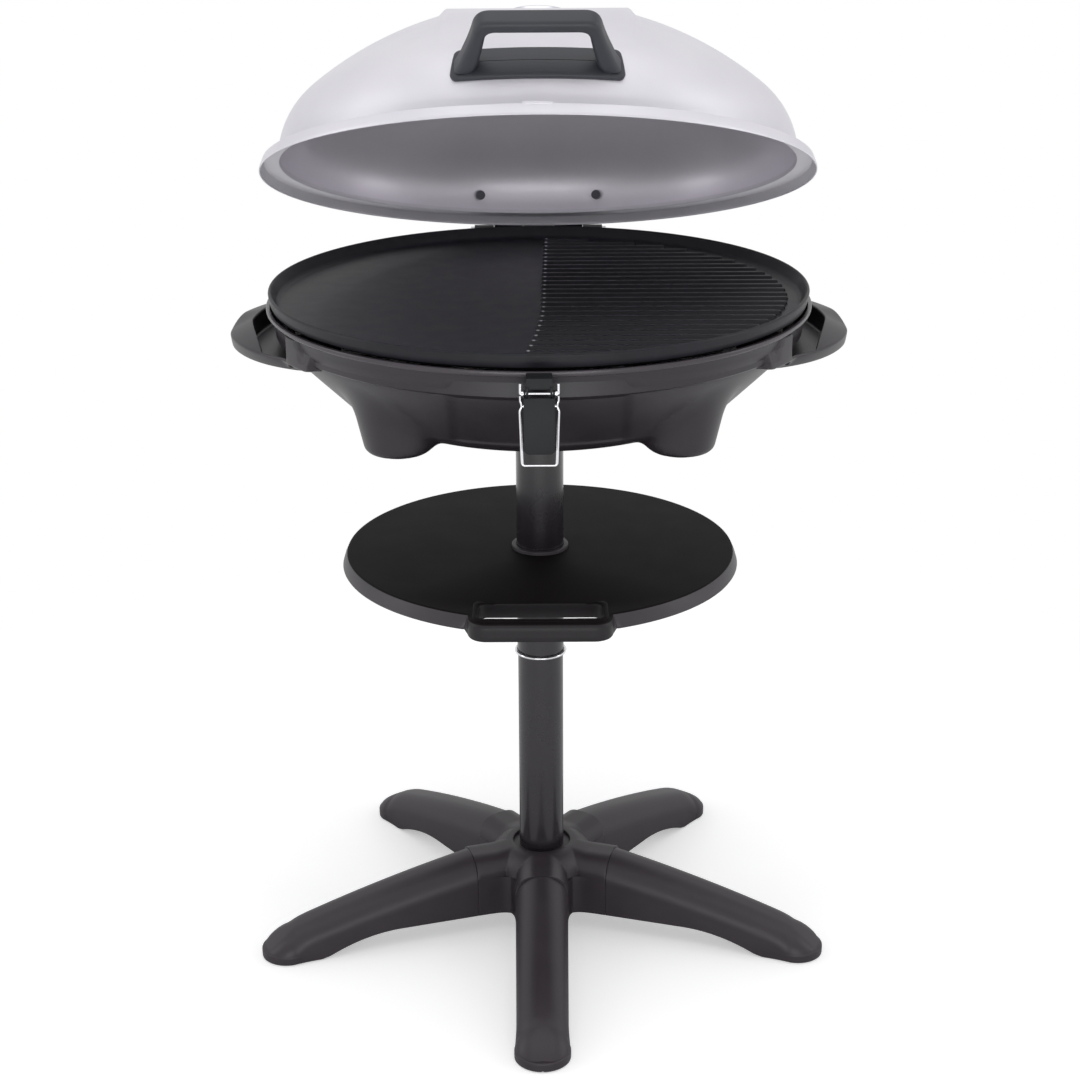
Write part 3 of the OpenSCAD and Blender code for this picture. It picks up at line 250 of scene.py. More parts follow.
def smooth_path(corners: Sequence[Sequence[float]], radius: float, steps: int = 8) -> Array:
    """Round the corners of a line of straight runs.

    Args:
        corners: Points of the line.
        radius: Radius of each bend, made smaller where a run is short.
        steps: Points on each bend.

    Returns:
        Points of the rounded line.
    """
    points = np.array(corners, dtype=float)
    path = [points[0]]
    for before, corner, after in zip(points[:-2], points[1:-1], points[2:]):
        back, ahead = before - corner, after - corner
        reach = min(radius, 0.49 * np.linalg.norm(back), 0.49 * np.linalg.norm(ahead))
        start = corner + back / np.linalg.norm(back) * reach
        end = corner + ahead / np.linalg.norm(ahead) * reach
        path.extend(bend(start, corner, end, steps))
    path.append(points[-1])
    return np.array(path)


def round_loop(corners: Array, radii: Sequence[float], steps: int) -> Array:
    """Round the corners of a closed line, each by its own radius.

    Args:
        corners: Points of the line as [point, two values].
        radii: Radius of each corner.
        steps: Points on each corner.

    Returns:
        The rounded line.
    """
    before, after = np.roll(corners, 1, 0) - corners, np.roll(corners, -1, 0) - corners
    line: list[Array] = []
    for corner, back, ahead, radius in zip(corners, before, after, radii):
        reach = min(radius, 0.48 * np.linalg.norm(back), 0.48 * np.linalg.norm(ahead))
        start = corner + back / (np.linalg.norm(back) + 1e-9) * reach
        end = corner + ahead / (np.linalg.norm(ahead) + 1e-9) * reach
        line.extend(bend(start, corner, end, steps))
    return np.array(line)


def mirrored(half: Sequence[Pair]) -> list[Pair]:
    """Complete a line that is the same on both sides, from its left half."""
    return [*half, *((-x, z) for x, z in reversed(half))]


def rounded_box(half_x: float, half_y: float, corner: float, steps: int = 10,
                runs: tuple[int, int] = (24, 8)) -> Array:
    """Outline of a rectangle with round corners, anticlockwise from the right.

    Args:
        half_x: Half of its width.
        half_y: Half of its depth.
        corner: Radius of its corners.
        steps: Steps on each corner.
        runs: Steps on its long and its short straight sides.

    Returns:
        Points of the outline as [point, xy].
    """
    centre_x, centre_y = half_x - corner, half_y - corner
    outline: list[Pair] = []
    for quarter, (sx, sy) in enumerate(((1, 1), (-1, 1), (-1, -1), (1, -1))):
        for k in range(steps + 1):
            a = math.radians(90 * quarter + 90 * k / steps)
            outline.append((sx * centre_x + corner * math.cos(a), sy * centre_y + corner * math.sin(a)))
        run = 2 * (centre_x if quarter in (0, 2) else centre_y)
        count = runs[quarter % 2]
        x0, y0 = outline[-1]
        dx, dy = ((-1, 0), (0, -1), (1, 0), (0, 1))[quarter]
        outline.extend((x0 + dx * run * k / count, y0 + dy * run * k / count) for k in range(1, count))
    return np.array(outline)


def offset_outline(outline: Array, distance: float | Array) -> Array:
    """Move a closed outline along its own normals.

    Args:
        outline: Points as [point, xy], anticlockwise.
        distance: How far outwards, for all points or for each.

    Returns:
        The moved points.
    """
    along = np.roll(outline, -1, 0) - np.roll(outline, 1, 0)
    along /= np.linalg.norm(along, axis=1)[:, None]
    normal = np.stack([along[:, 1], -along[:, 0]], axis=1)
    return outline + normal * np.broadcast_to(np.asarray(distance, dtype=float), (len(outline),))[:, None]


def level(outline: Array, height: float | Array) -> Array:
    """Give an outline its height."""
    return np.column_stack([outline, np.broadcast_to(np.asarray(height, dtype=float), (len(outline),))])


# ---------------------------------------------------------------- finishes


class Wiring:
    """Adds nodes to a node tree and joins them."""

    def __init__(self, tree: bpy.types.NodeTree) -> None:
        """Keep the nodes and links of the tree."""
        self.nodes, self.links = tree.nodes, tree.links

    def add(self, kind: str, inputs: Optional[dict] = None, **settings: str) -> bpy.types.NodeOutputs:
        """Add a node.

        Args:
            kind: Type of the node, without the words before it.
            inputs: Value of each input, or the socket that it is linked to, by name or number.
            settings: Properties of the node itself.

        Returns:
            The outputs of the new node.
        """
        node = self.nodes.new(f"ShaderNode{kind}")
        for name, value in settings.items():
            setattr(node, name, value)
        self.feed(node, inputs or {})
        return node.outputs

    def feed(self, node: bpy.types.Node, inputs: dict) -> None:
        """Set or link inputs of a node.

        Args:
            node: Node that takes them.
            inputs: Value of each input, or the socket that it is linked to, by name or number.
        """
        for key, value in inputs.items():
            if isinstance(value, bpy.types.NodeSocket):
                self.links.new(value, node.inputs[key])
            else:
                node.inputs[key].default_value = value


@dataclass(frozen=True)
class Finish:
    """One surface finish: a base colour with mottling, grain and a varied gloss.

    Attributes:
        name: Name of the material.
        slot: Material slot of the record that it stands for; not used by the script.
        colour: Main colour as "#rrggbb".
        second: Colour that the mottling drifts to.
        metallic: 1 for bare metal.
        rough: Low and high roughness.
        mottle: Size of the mottling, in cycles per metre.
        grain: Size of the fine grain, in cycles per metre.
        relief: Height of the grain, in millimetres.
        coat: Weight of the clear coat.
        specular: Specular level.
        coat_rough: Roughness of the clear coat.
        band: Where the mottling leaves the main colour and reaches the second.
    """

    name: str
    slot: str
    colour: str
    second: str
    metallic: float = 0.0
    rough: tuple[float, float] = (0.4, 0.5)
    mottle: float = 30.0
    grain: float = 2500.0
    relief: float = 0.01
    coat: float = 0.0
    specular: float = 0.5
    coat_rough: float = 0.12
    band: Pair = (0.35, 0.7)

    def build(self) -> bpy.types.Material:
        """Make the material's node tree.

        Returns:
            The finished material.
        """
        material = bpy.data.materials.new(self.name)
        material.use_nodes = True
        wiring = Wiring(material.node_tree)
        place = wiring.add("TexCoord")["Object"]
        mottle = wiring.add("TexNoise", {"Scale": self.mottle, "Detail": 4.0, "Vector": place})["Fac"]
        gloss = wiring.add("MapRange", {"Value": mottle, "To Min": self.rough[0], "To Max": self.rough[1]})
        wiring.feed(wiring.nodes["Principled BSDF"], {
            "Metallic": self.metallic, "Specular IOR Level": self.specular, "Coat Weight": self.coat,
            "Coat Roughness": self.coat_rough, "Base Color": self.tint(wiring, mottle),
            "Roughness": gloss["Result"], "Normal": self.relief_normal(wiring, place)})
        return material

    def tint(self, wiring: Wiring, mottle: bpy.types.NodeSocket) -> bpy.types.NodeSocket:
        """Drift between the two colours with the mottling.

        Args:
            wiring: Node tree of the material.
            mottle: Socket of the mottling.

        Returns:
            Socket of the colour.
        """
        ramp = wiring.nodes.new("ShaderNodeValToRGB")
        wiring.feed(ramp, {"Fac": mottle})
        for element, colour, position in zip(ramp.color_ramp.elements, (self.colour, self.second), self.band):
            element.color = shade(colour)
            element.position = position
        return ramp.outputs["Color"]

    def relief_normal(self, wiring: Wiring, place: bpy.types.NodeSocket) -> bpy.types.NodeSocket:
        """Give the fine relief that a moulded or sprayed surface has.

        Args:
            wiring: Node tree of the material.
            place: Socket of the coordinates.

        Returns:
            Socket of the bent normal.
        """
        grain = wiring.add("TexNoise", {"Scale": self.grain, "Detail": 3.0, "Vector": place})
        bump = wiring.add("Bump", {"Strength": 0.5, "Distance": self.relief * MM, "Height": grain["Fac"]})
        return bump["Normal"]


BASE_PLASTIC = Finish("base_plastic", "base_plastic", "#292329", "#2e282e", rough=(0.42, 0.5), relief=0.015)
TRAY_PLASTIC = Finish("tray_plastic", "tray_plastic", "#322e33", "#373338", rough=(0.42, 0.5), relief=0.02)
# Darker, less glossy copy of the tray plastic for the upward faces: painted shade on the top.
TRAY_TOP_PAINTED_SHADE = Finish("tray_top_painted_shade", "tray_plastic", "#0f0b0c", "#130f10", rough=(0.6, 0.7), relief=0.03,
                  specular=0.12)
# Darker copy of the tray plastic for the handle's faces: painted shade on the handle.
TRAY_GRIP_PAINTED_SHADE = Finish("tray_grip_painted_shade", "tray_plastic", "#1d1a1d", "#221f22", rough=(0.42, 0.5), relief=0.02,
                   specular=0.3)
# Lighter, glossier copy of the bowl plastic for the bead: painted light along the top of the rim.
BOWL_BEAD_PAINTED_LIGHT = Finish("bowl_bead_painted_light", "bowl_plastic", "#3a353b", "#403b41", rough=(0.24, 0.3), relief=0.01)
BOWL_PLASTIC = Finish("bowl_plastic", "bowl_plastic", "#221d23", "#272228", rough=(0.36, 0.44), relief=0.015)
COLUMN_PAINT = Finish("column_paint", "column_paint", "#231f24", "#272328", rough=(0.24, 0.3), relief=0.006,
                      coat=0.25)
NON_STICK = Finish("non_stick", "nonstick", "#1c1c21", "#222228", rough=(0.4, 0.52), mottle=60, grain=1400,
                   relief=0.03, coat=0.04, specular=0.24)
# Pale domes on the rib ends: a painted glint where the coating shines.
RIB_PAINTED_GLINT = Finish("rib_painted_glint", "nonstick", "#b9bac0", "#c6c7cc", metallic=0.2, rough=(0.2, 0.3))
LID_METAL = Finish("lid_metal", "lid_metal", "#dddbe2", "#e3e1e7", metallic=0.35, rough=(0.42, 0.5), mottle=12,
                   grain=3000, relief=0.004)
# Lighter, glossier copy of the lid metal for the inner face: painted light on the inside of the dome.
LID_INSIDE_PAINTED_LIGHT = Finish("lid_inside_painted_light", "lid_metal", "#e6e2ea", "#ece8f0", metallic=0.45, rough=(0.3, 0.36), mottle=12,
                    grain=3000, relief=0.004)
VENT_METAL = Finish("vent_metal", "vent_metal", "#cfcfd6", "#d8d8de", metallic=1.0, rough=(0.25, 0.32))
GRIP_PLASTIC = Finish("grip_plastic", "handle_plastic", "#2f3137", "#34363d", rough=(0.45, 0.52), relief=0.02)
CHROME = Finish("chrome", "chrome", "#e4e4e8", "#ececf0", metallic=1.0, rough=(0.08, 0.14), relief=0.0)
PLATED_STEEL = Finish("plated_steel", "steel", "#b4b5b8", "#c2c3c6", metallic=1.0, rough=(0.25, 0.35))
SCREW_STEEL = Finish("screw_steel", "steel", "#58595d", "#66676b", metallic=1.0, rough=(0.15, 0.22))
BLACK_METAL = Finish("black_metal", "black_metal", "#1b1d1f", "#202225", rough=(0.4, 0.5), relief=0.012,
                     specular=0.2)
RUBBER = Finish("rubber", "rubber", "#1d1c1d", "#242324", rough=(0.7, 0.85), relief=0.04)
SHEATH = Finish("element_sheath", "element_metal", "#6d655e", "#837a72", metallic=0.8, rough=(0.45, 0.6))
CERAMIC = Finish("ceramic", "ceramic", "#e6e2da", "#eeeae3", rough=(0.3, 0.4), relief=0.02)
INLET_PLASTIC = Finish("inlet_plastic", "inlet_plastic", "#1e1c1e", "#242224", rough=(0.45, 0.55), relief=0.02)

FINISH_OF_NODE: dict[str, Finish] = {
    "hub": BASE_PLASTIC, "leg_front": BASE_PLASTIC, "leg_right": BASE_PLASTIC, "leg_rear_right": BASE_PLASTIC,
    "leg_rear_left": BASE_PLASTIC, "leg_left": BASE_PLASTIC, "foot_pads": RUBBER, "leg_screws": PLATED_STEEL,
    "lower_column": COLUMN_PAINT, "hub_plug": PLATED_STEEL, "hub_bolt": PLATED_STEEL,
    "joint_spigot": PLATED_STEEL, "ring_clip": CHROME, "upper_column": COLUMN_PAINT,
    "column_cap": BASE_PLASTIC, "tray_support": BASE_PLASTIC, "support_screw": PLATED_STEEL,
    "tray": TRAY_PLASTIC, "tray_bush": TRAY_PLASTIC, "bowl": BOWL_PLASTIC, "stub_pads": RUBBER,
    "stand_socket": BOWL_PLASTIC, "socket_screws": PLATED_STEEL, "reflector_pan": PLATED_STEEL,
    "heating_element": SHEATH, "element_clips": PLATED_STEEL, "grill_plate": NON_STICK,
    "plate_posts": CERAMIC, "inlet_housing": INLET_PLASTIC, "inlet_pins": PLATED_STEEL,
    "hinge_bracket": BLACK_METAL, "hinge_screws": PLATED_STEEL, "hinge_pin": PLATED_STEEL,
    "latch_bracket": BLACK_METAL, "latch_pin": CHROME, "lid_shell": LID_METAL, "lid_handle": GRIP_PLASTIC,
    "handle_screws": PLATED_STEEL, "hinge_leaf": BLACK_METAL, "leaf_screws": SCREW_STEEL,
    "vent_rivet": PLATED_STEEL, "vent_disc": VENT_METAL, "latch_lever": BLACK_METAL, "latch_bail": CHROME,
}


class Workshop:
    """Makes each finish once, builds meshes and fits them to the frame."""

    def __init__(self, frame: dict) -> None:
        """Keep the frame and start with no materials.
        """
        self.frame = frame
        self.made: dict[str, bpy.types.Material] = {}

    def material(self, finish: Finish) -> bpy.types.Material:
        """Give the material of a finish, made on first use."""
        if finish.name not in self.made:
            self.made[finish.name] = finish.build()
        return self.made[finish.name]

    def dress_node(self, node: str, finish: Finish) -> None:
        """Give a node of the frame its finish.

        Args:
            node: Name of the node.
            finish: Its finish.
        """
        piece = self.frame["nodes"][node]
        piece.data.materials.clear()
        piece.data.materials.append(self.material(finish))
        log.info("%s dressed in %s", node, finish.name)

    def add(self, name: str, skin: Skin, finish: Finish, body: Body, smooth_angle: float = 40.0,
            flip: bool = False) -> bpy.types.Object:
        """Make a piece from a skin and let it ride on a body.

        Args:
            name: Name of the piece.
            skin: Its corners in millimetres and its faces.
            finish: Finish of the piece.
            body: Body that it moves with.
            smooth_angle: Edges sharper than this many degrees stay crisp.
            flip: Whether an open sheet has to be turned to face outwards.

        Returns:
            The new object.
        """
        mesh = skin.to_mesh(name)
        mesh.validate()
        piece = put_in_scene(name, mesh)
        self.tidy_mesh(mesh, smooth_angle, flip)
        mesh.materials.append(self.material(finish))
        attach(piece, body.value)
        log.info("%s: %d faces on %s", name, len(mesh.polygons), body.value)
        return piece

    @staticmethod
    def tidy_mesh(mesh: bpy.types.Mesh, smooth_angle: float, flip: bool = False) -> None:
        """Join doubled points, turn the faces outwards and set smooth shading.

        Args:
            mesh: Mesh to tidy.
            smooth_angle: Edges sharper than this many degrees stay crisp.
            flip: Whether an open sheet has to be turned to face upwards.
        """
        work = bmesh.new()
        work.from_mesh(mesh)
        bmesh.ops.remove_doubles(work, verts=work.verts, dist=JOIN_WITHIN)
        bmesh.ops.dissolve_degenerate(work, edges=work.edges, dist=1e-6)
        bmesh.ops.recalc_face_normals(work, faces=work.faces)
        if flip and sum(face.normal.z * face.calc_area() for face in work.faces) < 0:
            bmesh.ops.reverse_faces(work, faces=work.faces)
        limit = math.radians(smooth_angle)
        for edge in work.edges:
            edge.smooth = len(edge.link_faces) == 2 and edge.calc_face_angle(0.0) < limit
        for face in work.faces:
            face.smooth = True
        work.to_mesh(mesh)
        work.free()

    @staticmethod
    def fill(piece: bpy.types.Object, loops: Sequence[Array]) -> None:
        """Close the flat area between loops of corners, the first one outermost.

        Args:
            piece: Object that takes the faces.
            loops: Corners of each loop, in millimetres.
        """
        work = bmesh.new()
        work.from_mesh(piece.data)
        edges = []
        for loop in loops:
            corners = [work.verts.new([c * MM for c in p]) for p in loop]
            edges += [work.edges.new((a, b)) for a, b in zip(corners, corners[1:] + corners[:1])]
        bmesh.ops.triangle_fill(work, use_beauty=True, use_dissolve=False, edges=edges)
        work.to_mesh(piece.data)
        work.free()

    def bake(self, piece: bpy.types.Object) -> None:
        """Apply the modifiers of a piece to its mesh.

        Args:
            piece: Object whose mesh changes.
        """
        graph = bpy.context.evaluated_depsgraph_get()
        graph.update()
        mesh = bpy.data.meshes.new_from_object(piece.evaluated_get(graph))
        piece.modifiers.clear()
        piece.data = mesh

    def thicken(self, piece: bpy.types.Object, thickness: float, inside: Finish) -> None:
        """Give an open sheet its thickness, inwards.

        Args:
            piece: Sheet to thicken.
            thickness: Thickness in millimetres.
            inside: Finish of the new inner face.
        """
        piece.data.materials.append(self.material(inside))
        solid = piece.modifiers.new("thickness", "SOLIDIFY")
        solid.thickness = thickness * MM
        solid.offset = -1.0
        solid.material_offset = 1
        self.bake(piece)

    def dress_faces(self, piece: bpy.types.Object, finish: Finish,
                    wanted: Callable[[Vector, Vector], bool]) -> None:
        """Give some faces of a piece a second finish.

        Args:
            piece: Object whose faces change.
            finish: The second finish.
            wanted: Takes a face's centre in millimetres and its normal, and says whether it changes.
        """
        piece.data.materials.append(self.material(finish))
        index = len(piece.data.materials) - 1
        for face in piece.data.polygons:
            if wanted(face.center / MM, face.normal):
                face.material_index = index

    def carve(self, piece: bpy.types.Object, cutter: Skin) -> None:
        """Cut a closed skin out of a piece.

        Args:
            piece: Object that is cut.
            cutter: Closed skin in millimetres.
        """
        mesh = cutter.to_mesh("cutter")
        self.tidy_mesh(mesh, 40)
        tool = put_in_scene("cutter", mesh)
        cut = piece.modifiers.new("cut", "BOOLEAN")
        cut.operation = "DIFFERENCE"
        cut.solver = "EXACT"
        cut.object = tool
        self.bake(piece)
        bpy.data.objects.remove(tool)
        bpy.data.meshes.remove(mesh)

    def soften(self, node: str, finish: Finish, body: Body, width: float) -> None:
        """Replace a node by a copy whose sharp edges are rounded.

        Args:
            node: Node to copy.
            finish: Finish of the copy.
            body: Body that it moves with.
            width: Width of the rounding in millimetres.
        """
        work = bmesh.new()
        work.from_mesh(self.frame["nodes"][node].data)
        bmesh.ops.remove_doubles(work, verts=work.verts, dist=JOIN_WITHIN)
        bmesh.ops.dissolve_limit(work, angle_limit=math.radians(0.8), verts=work.verts, edges=work.edges)
        mesh = bpy.data.meshes.new(f"{node}_rounded")
        work.to_mesh(mesh)
        work.free()
        piece = put_in_scene(f"{node}_rounded", mesh)
        bevel = piece.modifiers.new("rounding", "BEVEL")
        bevel.width = width * MM
        bevel.segments = 3
        bevel.limit_method = "ANGLE"
        bevel.angle_limit = math.radians(32)
        self.bake(piece)
        self.tidy_mesh(piece.data, 34)
        piece.data.materials.clear()
        piece.data.materials.append(self.material(finish))
        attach(piece, body.value)
        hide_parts(node)
        log.info("%s rounded, %d faces", node, len(piece.data.polygons))


# ---------------------------------------------------------------- stand


@dataclass
class Stand:
    """Five-legged base: hub, legs and the cups round the foot pads.

    Attributes:
        shop: Workshop that makes the pieces.
        seam: Radius from the column to the seam between hub and leg.
        foot: Radius of the circle through the feet.
        cup: Radius of the round end of a leg.
        half_hub: Half width of a leg at the seam.
        half_foot: Half width of a leg before its cup.
        top_hub: Height of the ridge at the seam.
        top_foot: Height of the ridge above the foot.
        bow: Extra drop that bows the ridge.
        rise: Radius of the round shoulders.
        hub_top: Height of the hub at the column.
        hub_round: Radius of the hub's round middle.
        recess: Radius of the recess round the column.
        column: Radius of the hole for the column.
        underside: Height of the hub's underside.
        wall: Wall of the moulding.
        tip: Distance before the cup at which the ridge starts to round off.
        drop_start: Distance at which the lower edge of a leg starts to drop.
        drop_end: Distance at which that drop is done.
        drop: How far it drops.
        arm: Angle from arm to arm, in degrees.
        mouth: Radius of the opening under the hub.
        throat: Height to which the hub's walls reach inside.
    """

    shop: Workshop
    seam: float = 68.0
    foot: float = 239.4
    cup: float = 23.5
    half_hub: float = 23.4
    half_foot: float = 21.7
    top_hub: float = 73.0
    top_foot: float = 27.0
    bow: float = 11.7
    rise: float = 17.0
    hub_top: float = 75.0
    hub_round: float = 46.0
    recess: float = 26.0
    column: float = 20.15
    underside: float = 19.0
    wall: float = 3.0
    tip: float = 16.0
    drop_start: float = 140.0
    drop_end: float = 206.0
    drop: float = 16.0
    arm: float = 72.0
    mouth: float = 30.0
    throat: float = 40.0

    def build(self) -> None:
        """Make the hub and the five legs."""
        self.make_hub()
        for number, node in enumerate(("leg_front", "leg_right", "leg_rear_right", "leg_rear_left", "leg_left")):
            self.make_leg(number, node)

    def half_width(self, s: float) -> float:
        """Half width of a leg.

        Args:
            s: Distance from the column.

        Returns:
            The half width.
        """
        if s >= self.foot:
            return self.cup * math.sqrt(max(0.0, 1 - min(0.9999, (s - self.foot) / self.cup) ** 2))
        u = (s - self.seam) / (self.foot - self.seam)
        swell = max(0.0, (s - self.foot + self.cup) / self.cup) ** 2
        return self.half_hub + (self.half_foot - self.half_hub) * u + (self.cup - self.half_foot) * swell

    def ridge(self, s: float) -> float:
        """Height of a leg's top.

        Args:
            s: Distance from the column.

        Returns:
            The height.
        """
        u = (s - self.seam) / (self.foot - self.seam)
        straight = self.top_hub - (self.top_hub - self.top_foot - self.bow) * u - self.bow * u * u
        end = min(0.9999, max(0.0, (s - self.foot + self.tip) / (self.cup + self.tip)))
        return 1 + (straight - 1) * (1 - end ** 2.1) ** 0.5

    def lower_edge(self, s: float) -> float:
        """Height of a leg's lower edge.

        Args:
            s: Distance from the column.

        Returns:
            The height.
        """
        if s < self.drop_start:
            return self.underside
        if s < self.drop_end:
            u = (s - self.drop_start) / (self.drop_end - self.drop_start)
            return self.underside - self.drop * u ** 2
        return max(1.0, self.underside - self.drop - 2 * (s - self.drop_end) / 8)

    def arch(self, half: float, top: float, low: float, steps: int = 14) -> Array:
        """Section of a leg: upright sides with round shoulders.

        Args:
            half: Half width.
            top: Height of the top.
            low: Height of the lower edge.
            steps: Steps on each shoulder.

        Returns:
            Points as [point, across and up].
        """
        rise = min(self.rise + 3 * max(0.0, half - self.half_foot), half * 0.96, (top - low) * 0.8)
        turn = np.radians(np.linspace(180, 90, steps + 1))
        left = np.stack([rise - half + rise * np.cos(turn), top - rise + rise * np.sin(turn)], axis=1)
        right = left[::-1] * [-1, 1]
        return np.concatenate([[[-half, low]], left, right, [[half, low]]])

    def make_leg(self, number: int, node: str) -> None:
        """Make one leg with its cup.

        Args:
            number: Place of the leg, from the front to the right.
            node: Node that it stands for.
        """
        run = self.foot + self.cup - self.seam
        stations = self.seam + 0.3 + (run - 0.32) * (1 - (1 - np.linspace(0, 1, 84)) ** 1.5)
        rows = []
        for s in stations:
            outer = self.arch(self.half_width(s), self.ridge(s), self.lower_edge(s))
            t = s if s < self.foot else self.foot + (s - self.foot) * (1 - self.wall / self.cup)
            half = max(0.4, self.half_width(t) - self.wall)
            low = self.lower_edge(t)
            inner = self.arch(half, max(self.ridge(t) - self.wall, low + 2), low)
            rows.append([(s, *p) for p in outer] + [(t, *p) for p in inner[::-1]])
        skin = Skin().rows(np.array(rows), first=True, last=True)
        self.add_cup(skin)
        turn = math.radians(-90 + self.arm * number)
        cos, sin = math.cos(turn), math.sin(turn)
        skin.moved(lambda p: np.stack([p[:, 0] * cos + p[:, 1] * sin, p[:, 0] * sin - p[:, 1] * cos, p[:, 2]],
                                      axis=1))
        piece = self.shop.add(f"{node}_moulding", skin, BASE_PLASTIC, Body.STAND, smooth_angle=38)
        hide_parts(node)

    def add_cup(self, skin: Skin) -> None:
        """Add the round cup that closes a leg over its pad.

        Args:
            skin: Mesh of the leg.
        """
        radius = self.cup + 0.1
        profile = smooth_path([(radius - 4, 1.2), (radius - 0.8, 1.0), (radius, 2.2), (radius, 7.6),
                               (radius - 0.6, 8.6), (radius - 4, 9.2)], 0.8, 5)
        skin.revolve([tuple(p) for p in profile], steps=96, middle=(self.foot, 0.0))

    def edge(self, a: float) -> float:
        """Distance of the hub's edge from the column.

        Args:
            a: Angle from the middle of an arm, in radians.

        Returns:
            The distance.
        """
        corner = math.atan2(self.half_hub, self.seam)
        if abs(a) <= corner + 1e-4:
            return self.seam / math.cos(a)
        blend = (self.half_hub / math.sin(abs(a))) ** 8 + self.hub_round ** 8
        return min(self.seam / math.cos(a), blend ** 0.125)

    def crown(self, r: float, a: float) -> float:
        """Height of the hub's top.

        Args:
            r: Distance from the column.
            a: Angle from the middle of an arm, in radians.

        Returns:
            The height.
        """
        inset = max(0.0, self.half_hub - r * math.sin(abs(a)), self.edge(math.radians(self.arm / 2)) - r)
        rise = min(self.rise, inset)
        near = ease((self.hub_round - r) / 16)
        return (self.top_hub - self.rise + math.sqrt(self.rise ** 2 - (self.rise - rise) ** 2)
                + (self.hub_top - self.top_hub) * near)

    def make_hub(self) -> None:
        """Make the hub as one sheet from its underside to the hole for the column."""
        corner = math.atan2(self.half_hub, self.seam)
        valley = np.linspace(-math.radians(self.arm / 2), -corner, 26)[:-1]
        arm = np.linspace(-corner, corner, 30)
        fan = np.concatenate([valley, arm, -valley[::-1]])[:-1]
        angles = [(math.radians(-90 + self.arm * k) + a, a) for k in range(5) for a in fan]

        def ring(radius: Callable[[float], float], z: float) -> list[Point]:
            """Corners round the hub at one height, from their radius at an angle from an arm."""
            return [(radius(a) * math.cos(t), radius(a) * math.sin(t), z) for t, a in angles]

        rows = [ring(self.edge, z) for z in (self.underside, self.underside + 1.5, self.throat)]
        for u in (1 - (1 - np.linspace(0, 1, 44)) ** 1.9)[::-1]:
            radii = [self.recess + 1.0 + (self.edge(a) - self.recess - 1.0) * u for _, a in angles]
            rows.append([(r * math.cos(t), r * math.sin(t), self.crown(r, a))
                         for r, (t, a) in zip(radii, angles)])
        for r, z in ((self.recess + 0.3, self.hub_top - 0.25), (self.recess, self.hub_top - 0.9),
                     (self.recess, self.hub_top - 3), (self.column, self.hub_top - 3),
                     (self.column, self.throat)):
            rows.append(ring(lambda _: r, z))
        skin = Skin().rows(np.array(rows))
        skin.rows(np.array([ring(lambda _: r, self.underside) for r in (4.0, self.mouth)]))
        skin.rows(np.array([ring(self.edge, self.underside), ring(lambda _: self.mouth, self.underside)]))
        piece = self.shop.add("hub_moulding", skin, BASE_PLASTIC, Body.STAND, smooth_angle=38)
        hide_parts("hub")


# ---------------------------------------------------------------- tray


